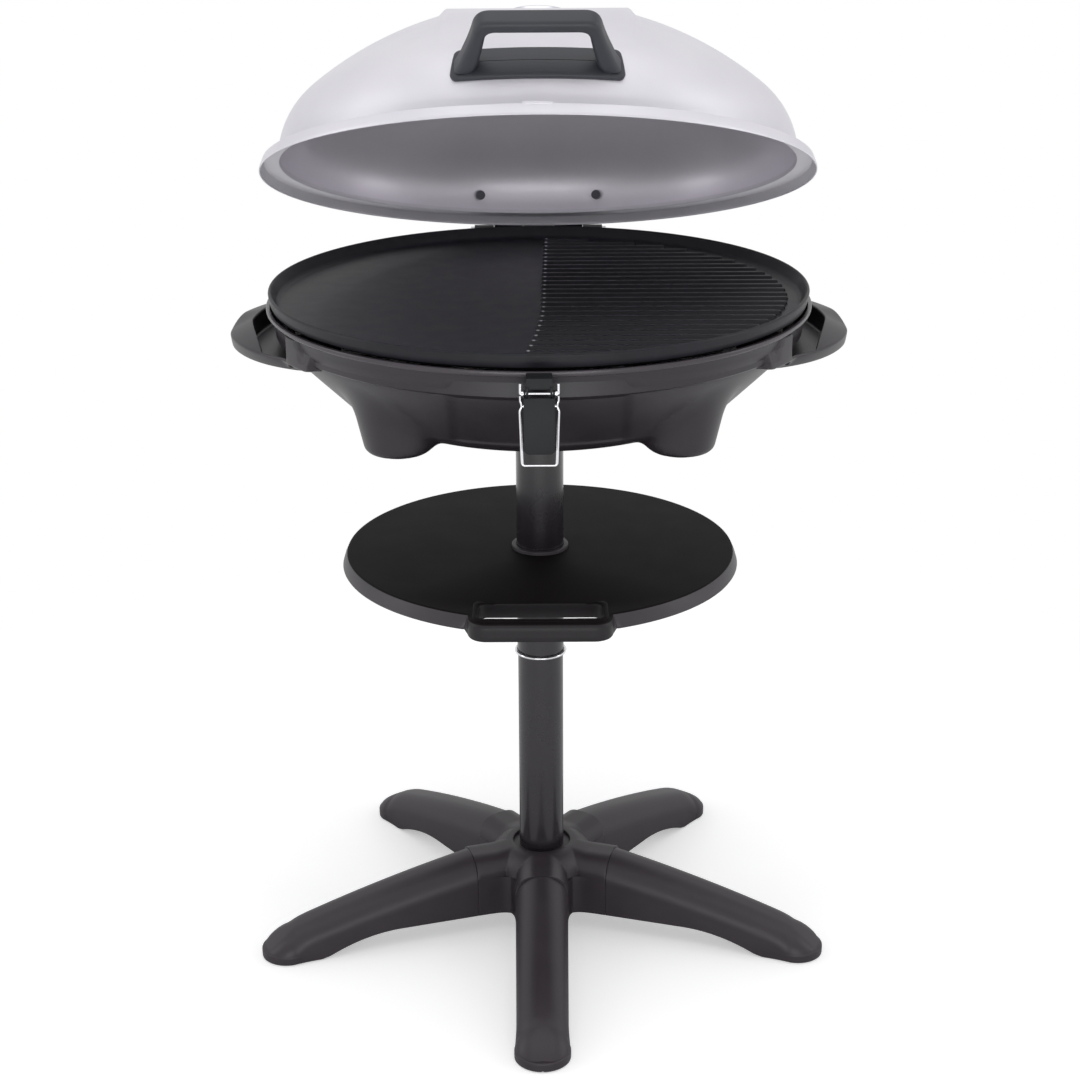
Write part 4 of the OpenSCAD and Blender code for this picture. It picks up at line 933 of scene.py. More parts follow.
@dataclass
class Tray:
    """Side tray that turns on the column, with the frame of its handle.

    Attributes:
        shop: Workshop that makes the pieces.
        top: Height of the tray's top.
        radius: Radius of the top.
        flare: How much wider the skirt is at its lower edge.
        skirt: Height of the skirt.
        grip_half: Half width of the handle.
        grip_reach: Reach of the handle from the column.
        grip_height: Height of the handle's face.
        slot_half: Half width of the slot.
        slot_near: Where the slot starts, from the column.
        slot_far: Where the slot ends, from the column.
        bush: Radius of the hole for the bush.
        sheet: Thickness of the plate.
        grip_corner: Radius of the handle's corners.
        slot_corner: Radius of the slot's corners.
    """

    shop: Workshop
    top: float = 362.0
    radius: float = 168.3
    flare: float = 3.6
    skirt: float = 12.0
    grip_half: float = 59.0
    grip_reach: float = 177.9
    grip_height: float = 16.0
    slot_half: float = 50.6
    slot_near: float = 134.0
    slot_far: float = 167.0
    bush: float = 24.7
    sheet: float = 3.4
    grip_corner: float = 16.0
    slot_corner: float = 8.0

    def build(self) -> None:
        """Make the plate with its skirt, and the raised frame round the slot."""
        outline, weight = self.outline()
        rows = []
        for out, drop in ((-3.0, 0.0), (-1.4, 0.12), (-0.5, 0.6), (0.0, 1.7)):
            rows.append(level(offset_outline(outline, out * (1 + 1.2 * weight)),
                              self.top - drop * (1 + 1.7 * weight)))
        depth = self.skirt * (1 - weight) + self.grip_height * weight
        flare = self.flare * (1 - weight) - 0.4 * weight
        for u in (0.45, 0.7, 0.93):
            rows.append(level(offset_outline(outline, flare * u), self.top - depth * u))
        for out, z in ((flare - 0.8, self.top - depth), (flare - 2.4, self.top - depth),
                       (-2.6, self.top - 3.0), (-4.0, self.top - self.sheet)):
            rows.append(level(offset_outline(outline, out), z))
        slot = self.slot_outline()
        slot_rows = [level(offset_outline(slot, out), z) for out, z in
                     ((1.6, self.top), (0.4, self.top - 0.4), (0.0, self.top - 1.2), (0.0, self.top - 15.6),
                      (3.0, self.top - 15.6), (3.0, self.top - self.sheet))]
        for row in slot_rows[3:5]:
            row[:, 2] += 3.0 * (row[:, 1] > -self.slot_near - 1.5)
        skin = Skin().rows(np.array(rows)).rows(np.array(slot_rows))
        piece = self.shop.add("tray_moulding", skin, TRAY_PLASTIC, Body.TRAY, smooth_angle=45)
        self.shop.fill(piece, [rows[0], slot_rows[0], self.circle(self.bush + 0.05, self.top)])
        self.shop.fill(piece, [rows[-1], slot_rows[-1], self.circle(self.bush + 0.05, self.top - self.sheet)])
        self.shop.tidy_mesh(piece.data, 45)
        # Handle faces get the darker copy of the tray plastic: painted shade.
        self.shop.dress_faces(piece, TRAY_GRIP_PAINTED_SHADE,
                              lambda centre, _: centre.y < -126 and abs(centre.x) < self.grip_half)
        # Upward faces of the top get the near-black copy: painted shade.
        self.shop.dress_faces(piece, TRAY_TOP_PAINTED_SHADE,
                              lambda centre, normal: normal.z > 0.8 and centre.z > self.top - 2)
        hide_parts("tray")
        self.make_frame()

    def circle(self, radius: float, height: float) -> Array:
        """Circle round the column."""
        turn = np.linspace(0, 2 * math.pi, 96, endpoint=False)
        return np.stack([radius * np.cos(turn), radius * np.sin(turn), np.full(96, height)], axis=1)

    def outline(self) -> tuple[Array, Array]:
        """Outline of the top, and how far each point belongs to the handle.

        Returns:
            Points as [point, xy], and a weight from 0 to 1 for each.
        """
        joint = math.sqrt(self.radius ** 2 - self.grip_half ** 2)
        start = math.atan2(-joint, self.grip_half)
        turn = np.linspace(start, start + 2 * math.pi - 2 * (start + math.pi / 2), 300)
        ring = np.stack([self.radius * np.cos(turn), self.radius * np.sin(turn)], axis=1)
        reach, half, corner = self.grip_reach, self.grip_half, self.grip_corner
        turn = np.radians(np.linspace(180, 270, 19))
        bend_line = np.stack([corner - half + corner * np.cos(turn), corner - reach + corner * np.sin(turn)],
                             axis=1)
        edge = np.linspace(corner - half, half - corner, 26)[1:-1]
        grip = np.concatenate([[(-half, -joint)], bend_line, np.stack([edge, np.full(24, -reach)], axis=1),
                               bend_line[::-1] * [-1, 1], [(half, -joint)]])
        weight_ring = np.zeros(len(ring))
        weight_grip = ease((-grip[:, 1] - joint) / 6)
        return (np.concatenate([ring, grip[1:-1]]), np.concatenate([weight_ring, weight_grip[1:-1]]))

    def slot_outline(self) -> Array:
        """Outline of the slot."""
        box = rounded_box(self.slot_half, (self.slot_far - self.slot_near) / 2, self.slot_corner)
        return box + [0.0, -(self.slot_far + self.slot_near) / 2]

    def make_frame(self) -> None:
        """Make the raised frame between the slot and the handle's edge."""
        outer = rounded_box(self.grip_half - 4.4, (self.grip_reach - 131.5) / 2, 11.0)
        outer = outer + [0.0, -(self.grip_reach - 5.4 + 126.1) / 2]
        slot, middle = self.slot_outline(), (self.slot_far + self.slot_near) / 2
        bearing = np.arctan2(slot[:, 1] + middle, slot[:, 0])
        inner = np.array([slot[np.argmin(np.abs(bearing - math.atan2(p[1] + middle, p[0])))] for p in outer])
        rows = [level(offset_outline(outer, 0.5), self.top - 0.3), level(outer, self.top + 0.35),
                level(offset_outline(outer, -0.9), self.top + 0.85)]
        towards = inner - outer
        towards /= np.linalg.norm(towards, axis=1)[:, None]
        rows += [level(inner - towards * 2.0, self.top + 0.85), level(inner - towards * 0.7, self.top + 0.5),
                 level(inner, self.top - 0.6)]
        rows = np.array(rows)
        rows[:, :, 2] -= 1.3 * ease((rows[0, :, 1] + 131) / 4)
        skin = Skin().rows(rows)
        # The raised frame takes the top's painted-shade copy of the tray plastic.
        self.shop.add("tray_handle_frame", skin, TRAY_TOP_PAINTED_SHADE, Body.TRAY, smooth_angle=60)


# ---------------------------------------------------------------- bowl


@dataclass
class Bowl:
    """Round heating bowl with its bead, stub feet and two carrying handles.

    Attributes:
        shop: Workshop that makes the pieces.
        rim: Radius of the rim.
        rim_top: Height of the rim.
        wall: Radius of the upright wall.
        floor: Height of the underside.
        floor_radius: Radius where the flat underside ends.
        hole: Radius of the hole for the stand socket.
        stub_circle: Radius of the circle through the stub feet.
        stub: Radius of a stub foot.
        stub_low: Height of a stub foot's underside.
        stub_draft: How fast a stub foot widens upwards.
        fillet: Width of the fillet between a stub foot and the bowl.
        panel_half: Half width of the shallow panel in front.
        panel_sink: Depth of the shallow panel.
        reach: Reach of a carrying handle from the middle.
        bar: Width of a carrying handle's bar.
        handle_low: Height of the underside of the handles.
        crease: Height of the crease round the front of a handle.
        pocket: Height of the pocket's floor.
        web: Angle where the pocket ends.
        span: Angle where the handle ends.
        root: Radius to which the handle reaches inwards.
        sheet: Thickness of the shell.
        stub_round: Rounding of a stub foot's lower edge.
        panel_low: Height at which the shallow panel begins.
    """

    shop: Workshop
    rim: float = 227.0
    rim_top: float = 584.0
    wall: float = 222.6
    floor: float = 491.5
    floor_radius: float = 126.0
    hole: float = 24.9
    stub_circle: float = 160.0
    stub: float = 26.5
    stub_low: float = 486.5
    stub_draft: float = 0.23
    fillet: float = 10.0
    panel_half: float = 67.0
    panel_sink: float = 2.4
    reach: float = 259.0
    bar: float = 19.0
    handle_low: float = 547.0
    crease: float = 558.4
    pocket: float = 551.0
    web: float = 25.6
    span: float = 39.6
    root: float = 201.0
    sheet: float = 2.8
    stub_round: float = 6.0
    panel_low: float = 503.0

    def build(self) -> None:
        """Make the shell and both carrying handles."""
        shell = self.make_shell()
        # The bead's faces get the lighter copy of the bowl plastic: painted light along the rim.
        self.shop.dress_faces(shell, BOWL_BEAD_PAINTED_LIGHT, lambda centre, _: centre.z > self.rim_top - 4.5)
        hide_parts("bowl")
        for side in Side:
            self.make_handle(side)

    def profile(self) -> Array:
        """Outer profile below the bead, from the wall to the flat underside.

        Returns:
            Points as [point, radius and height].
        """
        cone_low = (self.floor_radius + 38, self.floor + 14.5)
        corners = [(self.wall, self.rim_top - 8), (self.wall - 1.0, self.rim_top - 14),
                   (self.wall - 4.2, self.rim_top - 21), (self.wall - 9.4, self.rim_top - 28),
                   (self.wall - 16.0, self.rim_top - 35.4), (self.wall - 23.1, self.rim_top - 42.9),
                   (self.wall - 30.6, self.rim_top - 50.4), cone_low]
        upper = smooth_path(corners, 5.0, 6)
        lower = []
        for u in np.linspace(0, 1, 14)[1:]:
            lower.append((cone_low[0] * (1 - u) ** 2 + (self.floor_radius + 16) * 2 * u * (1 - u)
                          + self.floor_radius * u * u,
                          cone_low[1] * (1 - u) ** 2 + self.floor * (2 * u * (1 - u) + u * u)))
        line = np.concatenate([upper, lower, [[112.0, self.floor]]])
        steps = np.concatenate([[0], np.cumsum(np.linalg.norm(np.diff(line, axis=0), axis=1))])
        even = np.unique(np.concatenate([steps, np.linspace(0, steps[-1], 96)]))
        return np.stack([np.interp(even, steps, line[:, 0]), np.interp(even, steps, line[:, 1])], axis=1)

    def distance(self, points: Array, line: Array) -> Array:
        """Distance from points to the bowl blended with its four stub feet.

        Args:
            points: Corners outside the bowl.
            line: Outer profile of the bowl.

        Returns:
            Distance of each corner.
        """
        flat = np.stack([np.hypot(points[:, 0], points[:, 1]), points[:, 2]], axis=1)
        start, run = line[:-1], np.diff(line, axis=0)
        best = np.full(len(flat), 1e9)
        for a, d in zip(start, run):
            u = np.clip(((flat - a) @ d) / (d @ d + 1e-12), 0, 1)
            best = np.minimum(best, np.linalg.norm(flat - a - u[:, None] * d, axis=1))
        bearing = np.arctan2(points[:, 1], points[:, 0])
        turn = np.round((bearing - math.pi / 4) / (math.pi / 2)) * math.pi / 2 + math.pi / 4
        away = np.hypot(points[:, 0] - self.stub_circle * np.cos(turn),
                        points[:, 1] - self.stub_circle * np.sin(turn))
        radius = self.stub + self.stub_draft * (points[:, 2] - self.stub_low)
        side = (away - radius) * 0.97 + self.stub_round
        under = self.stub_low + self.stub_round - points[:, 2]
        stub = (np.hypot(np.maximum(side, 0), np.maximum(under, 0))
                + np.minimum(np.maximum(side, under), 0) - self.stub_round)
        blend = np.maximum(self.fillet - np.abs(best - stub), 0) / self.fillet
        return np.minimum(best, stub) - blend * blend * self.fillet / 4

    def cast(self, line: Array) -> Array:
        """Walk in along rays until they meet the bowl blended with its stub feet.

        Args:
            line: Outer profile of the bowl.

        Returns:
            Corners of the outer face as [ring, column, xyz].
        """
        centre = np.array([108.0, 562.0])
        aim = line - centre
        reach = np.linalg.norm(aim, axis=1)
        aim /= reach[:, None]
        turn = np.radians(np.arange(0, 360, 0.9))
        rays = np.stack([aim[:, None, 0] * np.cos(turn), aim[:, None, 0] * np.sin(turn),
                         np.repeat(aim[:, 1:2], len(turn), axis=1)], axis=2).reshape(-1, 3)
        start = np.stack([np.tile(centre[0] * np.cos(turn), len(line)),
                          np.tile(centre[0] * np.sin(turn), len(line)),
                          np.full(len(rays), centre[1])], axis=1)
        length = np.repeat(reach, len(turn)) + 34
        for _ in range(34):
            length -= 0.9 * self.distance(start + rays * length[:, None], line)
            length = np.maximum(length, np.repeat(reach, len(turn)))
        corners = start + rays * length[:, None]
        front = (corners[:, 1] < 0) * ease((self.panel_half + 3.5 - np.abs(corners[:, 0])) / 7)
        corners[:, 1] += self.panel_sink * front * ease((corners[:, 2] - self.panel_low) / 6)
        return corners.reshape(len(line), len(turn), 3)

    def make_shell(self) -> bpy.types.Object:
        """Make the shell with its bead, its blended stub feet and its inside.

        Returns:
            The new piece.
        """
        skin = Skin().rows(self.cast(self.profile()))
        inner_floor = [(111.5, self.floor), (self.hole, self.floor), (self.hole, self.floor + self.sheet),
                       (self.floor_radius - 2, self.floor + self.sheet),
                       (self.floor_radius + 36, self.floor + 18.5), (self.wall - 18, self.rim_top - 31),
                       (self.wall - self.sheet, self.rim_top - 22),
                       (self.wall - self.sheet, self.rim_top - 9)]
        skin.revolve(inner_floor, steps=200)
        bead = smooth_path([(self.wall - self.sheet, self.rim_top - 10), (self.rim - 3.6, self.rim_top - 2),
                            (self.rim - 3.6, self.rim_top), (self.rim, self.rim_top),
                            (self.rim, self.rim_top - 3),
                            (self.rim - 1.4, self.rim_top - 4.6), (self.wall + 1.0, self.rim_top - 4.8),
                            (self.wall, self.rim_top - 9.4)], 0.9, 6)
        skin.revolve([tuple(p) for p in bead], steps=400)
        return self.shop.add("bowl_moulding", skin, BOWL_PLASTIC, Body.GRILL, smooth_angle=50)

    def bare(self, a: float) -> float:
        """Radius of a handle's round outline, before it meets the wall."""
        return self.reach - 0.05 * a * a - 3.5 * (1 - math.exp(-a * a / 64))

    def edge(self, a: float) -> float:
        """Radius of a handle's crease at an angle from its middle."""
        return max(self.bare(a), self.wall + 3.4 - 0.25 * max(0.0, abs(a) - 28))

    def draft(self, a: float) -> float:
        """How far the underside lies inside the crease."""
        return min(self.edge(a) - 200, 1.5 + 0.0155 * a * a + 3.3 * max(0.0, abs(a) - 24.4))

    def inner(self, a: float) -> float:
        """Radius of the edge between the bar and its pocket.

        Args:
            a: Angle from the handle's middle in degrees.

        Returns:
            The radius.
        """
        y = abs(self.bare(a) * math.sin(math.radians(a)))
        line = (self.reach - self.bar - 16 * (min(y, 74) / 74) ** 1.35) / math.cos(math.radians(a))
        return min(self.edge(a) - 2.6, line)

    def rise(self, a: float) -> Pair:
        """Height of the crease and slope of the top; behind the middle it is higher and flatter."""
        back = ease(-a / 8)
        return self.crease + 6.4 * back, 0.5 - 0.28 * back

    def section(self, a: float) -> Array:
        """Section of a handle at an angle, with its edges rounded.

        Args:
            a: Angle from the handle's middle in degrees, towards the front.

        Returns:
            Closed section as [point, radius and height].
        """
        crease, slope = self.rise(a)
        t, inner = self.edge(a), self.inner(a)
        b = t - self.draft(a)
        top = crease + slope * (t - 1.2 - inner)
        low = [(b, self.handle_low), (b + 0.52 * (t - b), self.handle_low + 4),
               (b + 0.84 * (t - b), self.handle_low + 7.5), (t, crease - 1.4)]
        bar = low + [(t - 1.2, crease), (inner + 1, top - 0.5), (inner, top - 1.6),
                     (inner - 0.8, self.pocket + 1.5), (inner - 2.4, self.pocket), (self.root, self.pocket)]
        under = self.rim_top - 5
        web = low + [(t + 0.1, crease + 3), (t + 0.2, 572), (t + 0.3, under),
                     (t - 3, under + 0.6), (t - 6, under + 0.6), (self.root, under)]
        tail = [(self.root, self.handle_low + 1)]
        share = ease((abs(a) - self.web) / 1.7)
        mixed = (1 - share) * np.array(bar + tail) + share * np.array(web + tail)
        radii = [1.6, 3.0, 3.0, 0.9, 0.9, 0.8, 0.8, 1.2, 1.0, 0.2, 0.2]
        return self.faded(round_loop(mixed, radii, 5), abs(a))

    def faded(self, section: Array, a: float) -> Array:
        """Let the end of a handle sink into the bowl along a slanted crease.

        Args:
            section: Section as [point, radius and height].
            a: Angle from the handle's middle in degrees.

        Returns:
            The section, drawn back to just inside the bowl beyond the crease.
        """
        r, z = section[:, 0], section[:, 1]
        line = self.profile()[::-1]
        bowl = np.interp(z, line[:, 1], line[:, 0])
        limit = np.interp(z, [self.handle_low, 559.0, 575.0], [29.5, self.span - 0.8, 33.4])
        share = ease((limit - a) / 2.6)
        return np.stack([np.where(r > bowl - 1, bowl - 1 + (r - bowl + 1) * share, r), z], axis=1)

    def make_handle(self, side: Side) -> None:
        """Make one carrying handle, hollow under its bar.

        Args:
            side: Side that it stands on.
        """
        angles = np.concatenate([np.arange(-self.span, -27.8, 0.45), np.arange(-27.4, -25.2, 0.2),
                                 np.arange(-24.9, 24.9, 0.55), np.arange(25.2, 27.6, 0.2),
                                 np.arange(27.8, self.span, 0.45), [self.span]])
        rows = np.array([self.turned(self.section(a), a, side) for a in angles])
        piece = self.shop.add(f"carrying_handle_{side.name.lower()}", Skin().rows(rows, first=True, last=True),
                              BOWL_PLASTIC, Body.GRILL, smooth_angle=55)
        cut = []
        for a in np.linspace(-13, 13, 27):
            crease, slope = self.rise(a)
            t, inner = self.edge(a), self.inner(a)
            roof = crease + slope * (t - inner)
            hollow = np.array([(t - self.draft(a) - 2.8, self.handle_low - 1), (t - 3, crease - 3),
                               (inner + 2, roof - 3.8), (inner + 2, self.handle_low - 1)])
            cut.append(self.turned(hollow, a, side))
        self.shop.carve(piece, Skin().rows(np.array(cut), first=True, last=True))
        self.shop.tidy_mesh(piece.data, 50)

    @staticmethod
    def turned(section: Array, a: float, side: Side) -> Array:
        """Place a section at its angle from a handle's middle.

        Args:
            section: Section as [point, radius and height].
            a: Angle in degrees, towards the front.
            side: Side that the handle stands on.

        Returns:
            Corners as [point, xyz].
        """
        turn = math.radians(a)
        return np.stack([side.value * section[:, 0] * math.cos(turn), -section[:, 0] * math.sin(turn),
                         section[:, 1]], axis=1)


# ---------------------------------------------------------------- grill plate


@dataclass
class GrillPlate:
    """Cooking plate: flat on the left, ribbed on the right.

    Attributes:
        shop: Workshop that makes the pieces.
        radius: Outer radius.
        top: Height of the rim.
        face: Height of the cooking face.
        floor_radius: Radius of the cooking face.
        pitch: Distance from rib to rib.
        width: Width of a rib at its foot.
        height: Height of a rib.
        spigot: Radius of the spigot under the plate.
        skirt: Height of the skirt's lower edge.
        under: Height of the plate's underside.
        ribs: Number of places for ribs, from front to rear.
        margin: Distance from a rib's right end to the edge of the face.
        shortest: Length below which a rib is left out.
    """

    shop: Workshop
    radius: float = 225.0
    top: float = 597.0
    face: float = 587.0
    floor_radius: float = 216.5
    pitch: float = 15.0
    width: float = 7.0
    height: float = 2.4
    spigot: float = 214.0
    skirt: float = 585.5
    under: float = 582.0
    ribs: int = 28
    margin: float = 9.0
    shortest: float = 30.0

    def build(self) -> None:
        """Make the plate and its ribs as one piece, and the pale domes that paint a glint on each rib's left
        end.
        """
        r, top, face = self.radius, self.top, self.face
        profile = smooth_path([(0.01, face), (self.floor_radius - 1.4, face),
                               (self.floor_radius + 1.6, face + 1.8),
                               (r - 3.2, top - 1.4), (r - 2.2, top), (r - 0.9, top), (r, top - 1.2),
                               (r - 0.6, 590.5), (r - 2.4, self.skirt), (self.spigot, self.skirt),
                               (self.spigot, self.under)], 1.1, 5)
        skin = Skin().revolve([tuple(p) for p in profile], steps=400)
        skin.revolve([(self.spigot, self.under), (0.01, self.under)], steps=96)
        # Pale domes painted as glints on the rib ends.
        glint_skin = Skin()
        for y, left, right in self.rib_lines():
            self.add_rib(skin, y, left, right)
            self.add_painted_glint(glint_skin, y, left)
        piece = self.shop.add("cooking_plate", skin, NON_STICK, Body.GRILL, smooth_angle=40)
        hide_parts("grill_plate")
        self.shop.add("rib_painted_glints", glint_skin, RIB_PAINTED_GLINT, Body.GRILL, smooth_angle=60)

    def rib_lines(self) -> list[Point]:
        """Find the ribs that are long enough.

        Returns:
            Distance behind the middle, left end and right end of each.
        """
        lines = []
        for k in range(self.ribs):
            y = (k - (self.ribs - 1) / 2) * self.pitch
            left, room = self.left_end(y), (self.floor_radius - self.margin) ** 2 - y * y
            if room > 0 and math.sqrt(room) - left >= self.shortest:
                lines.append((y, left, math.sqrt(room)))
        return lines

    def left_end(self, y: float) -> float:
        """Where a rib starts, on the sweep between the two halves."""
        return 1.5 + (-10.5 * (-y / 171) ** 2.2 if y < 0 else 2.5 * y / 190)

    def add_painted_glint(self, skin: Skin, y: float, left: float) -> None:
        """Add the small pale dome at the left end of a rib, a painted glint where the coating would shine.

        Args:
            skin: Mesh that takes the dome.
            y: Distance of the rib behind the middle.
            left: Left end of the rib.
        """
        dome = [(1.7 * math.cos(t), self.face + self.height - 0.5 + 0.9 * math.sin(t))
                for t in np.radians([0, 25, 50, 75, 89])]
        skin.revolve(dome, steps=20, middle=(left + 3.2, y))

    def add_rib(self, skin: Skin, y: float, left: float, right: float) -> None:
        """Add one rib with round flanks and round ends.

        Args:
            skin: Mesh that takes the rib.
            y: Distance of the rib behind the middle.
            left: Left end of the rib.
            right: Right end of the rib.
        """
        half = self.width / 2
        flank = [(-1.0, -0.05), (-0.97, 0.0), (-0.9, 0.1), (-0.78, 0.42), (-0.62, 0.82), (-0.5, 0.96),
                 (-0.3, 1.0)]
        rows = [[(x, y + half * p * scale, self.face + self.height * h * min(1.0, scale * 1.25))
                 for p, h in mirrored(flank)] for x, scale in self.rib_stations(left, right, half)]
        skin.rows(np.array(rows), around=False)

    @staticmethod
    def rib_stations(left: float, right: float, half: float) -> list[Pair]:
        """Stations along a rib.

        Args:
            left: Left end of the rib.
            right: Right end of the rib.
            half: Half width of the rib, which is also the radius of its ends.

        Returns:
            Place of each station, and how wide the rib is there from 0 to 1.
        """
        turn = np.radians(np.linspace(0, 90, 9))
        head = [(left + half * (1 - math.cos(t)), max(0.03, math.sin(t))) for t in turn]
        tail = [(right - half * (1 - math.cos(t)), max(0.03, math.sin(t))) for t in turn[::-1]]
        return head + tail


# ---------------------------------------------------------------- lid


@dataclass
class Lid:
    """Domed lid with its raised panel, stepped rim, vent and arched handle.

    Attributes:
        shop: Workshop that makes the pieces.
        open_angle: Angle that the lid stands open at rest, in degrees.
        hinge_y: Distance of the hinge axis behind the middle.
        hinge_z: Height of the hinge axis.
        rim_z: Height of the rim with the lid closed.
        radius: Radius of the rim.
        step: Height of the step above the rim.
        dome: Radius of the dome where it meets the step.
        shoulder: Radius of the shoulder arc.
        shoulder_z: Height of the shoulder arc's centre.
        crown: Radius of the crown.
        crown_z: Height of the crown's centre.
        sheet: Thickness of the sheet.
        panel_half: Half width of the raised panel.
        panel_edge: Width of the ramp beside it.
        panel_drop: Drop of the panel's ridge below the crown.
        panel_front: Where the panel ends in front.
        panel_rear: Where the panel ends behind.
        foot_angle: Angle up the shoulder of the middle of the handle's foot, in degrees.
        grip_angle: Angle at which the grip stands away from the shoulder, in degrees.
    """

    shop: Workshop
    open_angle: float = 22.0
    hinge_y: float = 247.5
    hinge_z: float = 586.5
    rim_z: float = 589.1
    radius: float = 230.0
    step: float = 9.4
    dome: float = 214.3
    shoulder: float = 68.3
    shoulder_z: float = 11.7
    crown: float = 287.0
    crown_z: float = -151.1
    sheet: float = 1.2
    panel_half: float = 71.5
    panel_edge: float = 7.2
    panel_drop: float = 5.2
    panel_front: float = -190.0
    panel_rear: float = 75.0
    foot_angle: float = 27.5
    grip_angle: float = 29.5

    def build(self) -> None:
        """Make the shell, its rim and catch, and the handle."""
        self.make_shell()
        self.make_rim()
        self.make_foot()
        self.make_grip()

    def place(self, points: Array) -> Array:
        """Turn corners from the closed lid's frame to the lid at rest.

        Args:
            points: Corners as [point, xyz], with heights above the rim.

        Returns:
            The turned corners.
        """
        turn = -math.radians(self.open_angle)
        y, z = points[:, 1] - self.hinge_y, points[:, 2] + self.rim_z - self.hinge_z
        return np.stack([points[:, 0], self.hinge_y + y * math.cos(turn) - z * math.sin(turn),
                         self.hinge_z + y * math.sin(turn) + z * math.cos(turn)], axis=1)

    def height(self, x: Array, y: Array) -> Array:
        """Height of the outer face above the rim.

        Args:
            x: Places to the right of the middle.
            y: Places behind the middle.

        Returns:
            Height at each place.
        """
        r = np.hypot(x, y)
        shoulder_x = self.dome - self.shoulder
        arc = self.shoulder_z + np.sqrt(np.maximum(0, self.shoulder ** 2 - np.maximum(0, r - shoulder_x) ** 2))
        crown = self.crown_z + np.sqrt(np.maximum(0, self.crown ** 2 - r ** 2))
        join = math.atan2(self.shoulder_z - self.crown_z, shoulder_x)
        on_crown = r < self.crown * math.cos(join)
        dome = np.where(on_crown, crown, arc)
        panel = self.crown_z + np.sqrt(np.maximum(0, (self.crown - self.panel_drop) ** 2 - y ** 2))
        share = (ease((self.panel_half + self.panel_edge - np.abs(x)) / self.panel_edge)
                 * ease((y - self.panel_front) / 95) * ease((self.panel_rear + 4 - y) / 8))
        return dome + (panel - dome) * share

    def make_shell(self) -> None:
        """Make the domed sheet, with straight lines of corners along the panel."""
        near, ramp_end = self.panel_half, self.panel_half + self.panel_edge
        marks = [near - 0.8, near, near + 0.9, near + 2.4, near + self.panel_edge / 2, ramp_end - 2.4,
                 ramp_end - 0.9, ramp_end]
        outer = self.dome * np.sin(np.linspace(math.asin((ramp_end + 1) / self.dome), math.pi / 2, 72))
        half = np.concatenate([np.linspace(0, marks[0], 24)[:-1], marks, outer])
        across = np.sin(np.linspace(-math.pi / 2, math.pi / 2, 181))
        rows = []
        for x in np.concatenate([-half[:0:-1], half]):
            y = across * math.sqrt(max(0.0, self.dome ** 2 - x * x))
            column = np.full(len(y), x)
            rows.append(np.stack([column, y, self.height(column, y)], axis=1))
        skin = Skin().rows(np.array(rows), around=False).moved(self.place)
        shell = self.shop.add("lid_dome", skin, LID_METAL, Body.LID, smooth_angle=60, flip=True)
        # The inner face gets the lighter copy of the lid metal: painted light inside the dome.
        self.shop.thicken(shell, self.sheet, LID_INSIDE_PAINTED_LIGHT)
        for k in range(6):
            turn = math.radians(60 * k)
            hole = Skin().revolve([(0.01, 110), (4.8, 110), (4.8, 150), (0.01, 150)], steps=40,
                                  middle=(17 * math.cos(turn), 17 * math.sin(turn))).moved(self.place)
            self.shop.carve(shell, hole)
        self.shop.tidy_mesh(shell.data, 50)
        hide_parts("lid_shell")

    def make_rim(self) -> None:
        """Make the ledge, the flared skirt and the stamped catch."""
        r, d, h = self.radius, self.dome, self.step
        section = round_loop(np.array([
            (d, 11.9), (d, h), (r - 2.8, h), (r, 1.6), (r, 0.0), (r - 1.2, 0.0), (r - 1.3, 1.4),
            (r - 4.0, h - 1.4), (d - 1.2, h - 1.2), (d - 1.2, 11.9)]),
            [0.1, 1.2, 1.0, 0.8, 0.5, 0.5, 0.5, 0.8, 1.0, 0.1], 5)
        rows = np.array([[(p[0] * math.cos(t), p[0] * math.sin(t), p[1]) for p in section]
                         for t in np.linspace(0, 2 * math.pi, 361)])
        self.shop.add("lid_rim", Skin().rows(rows).moved(self.place), LID_METAL, Body.LID, smooth_angle=60)
        catch_half = 10.5
        x = np.linspace(-catch_half, catch_half, 22)
        y = -r + 4.6 - 1.4 * np.cos(x / catch_half * math.pi / 2) ** 0.5
        path = np.stack([x, y, np.full(len(x), h - 0.4)], axis=1)
        self.shop.add("lid_catch", Skin().wire(path, 1.9, 20).moved(self.place), LID_METAL, Body.LID)

    def on_shoulder(self, points: Array) -> Array:
        """Lay corners on the front shoulder.

        Args:
            points: Corners with x round the shoulder, y up it and z away from it.

        Returns:
            The corners on the lid at rest.
        """
        turn = points[:, 0] / 205.4
        lift = math.radians(self.foot_angle) + points[:, 1] / 72.3
        r = self.dome - self.shoulder + (self.shoulder + points[:, 2]) * np.cos(lift)
        z = self.shoulder_z + (self.shoulder + points[:, 2]) * np.sin(lift)
        return self.place(np.stack([r * np.sin(turn), -r * np.cos(turn), z], axis=1))

    def make_foot(self) -> None:
        """Make the handle's foot, which lies on the shoulder."""
        half_x, half_y, corner = 63.6, 14.4, 5.0
        rows = []
        for inset, height in ((0, -2.0), (0, 2.4), (0.25, 3.1), (0.8, 3.7), (1.8, 4.0), (4, 4.0), (7, 4.0),
                              (10, 4.0), (12.5, 4.0), (14.2, 4.0)):
            rounding = min(max(0.05, corner - inset), 14.3 - min(inset, 14.2))
            rows.append(level(rounded_box(half_x - inset, half_y - min(inset, 14.2), rounding, 8), height))
        foot = Skin().rows(np.array(rows)).moved(self.on_shoulder)
        piece = self.shop.add("lid_handle_foot", foot, GRIP_PLASTIC, Body.LID, smooth_angle=50)
        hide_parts("lid_handle")

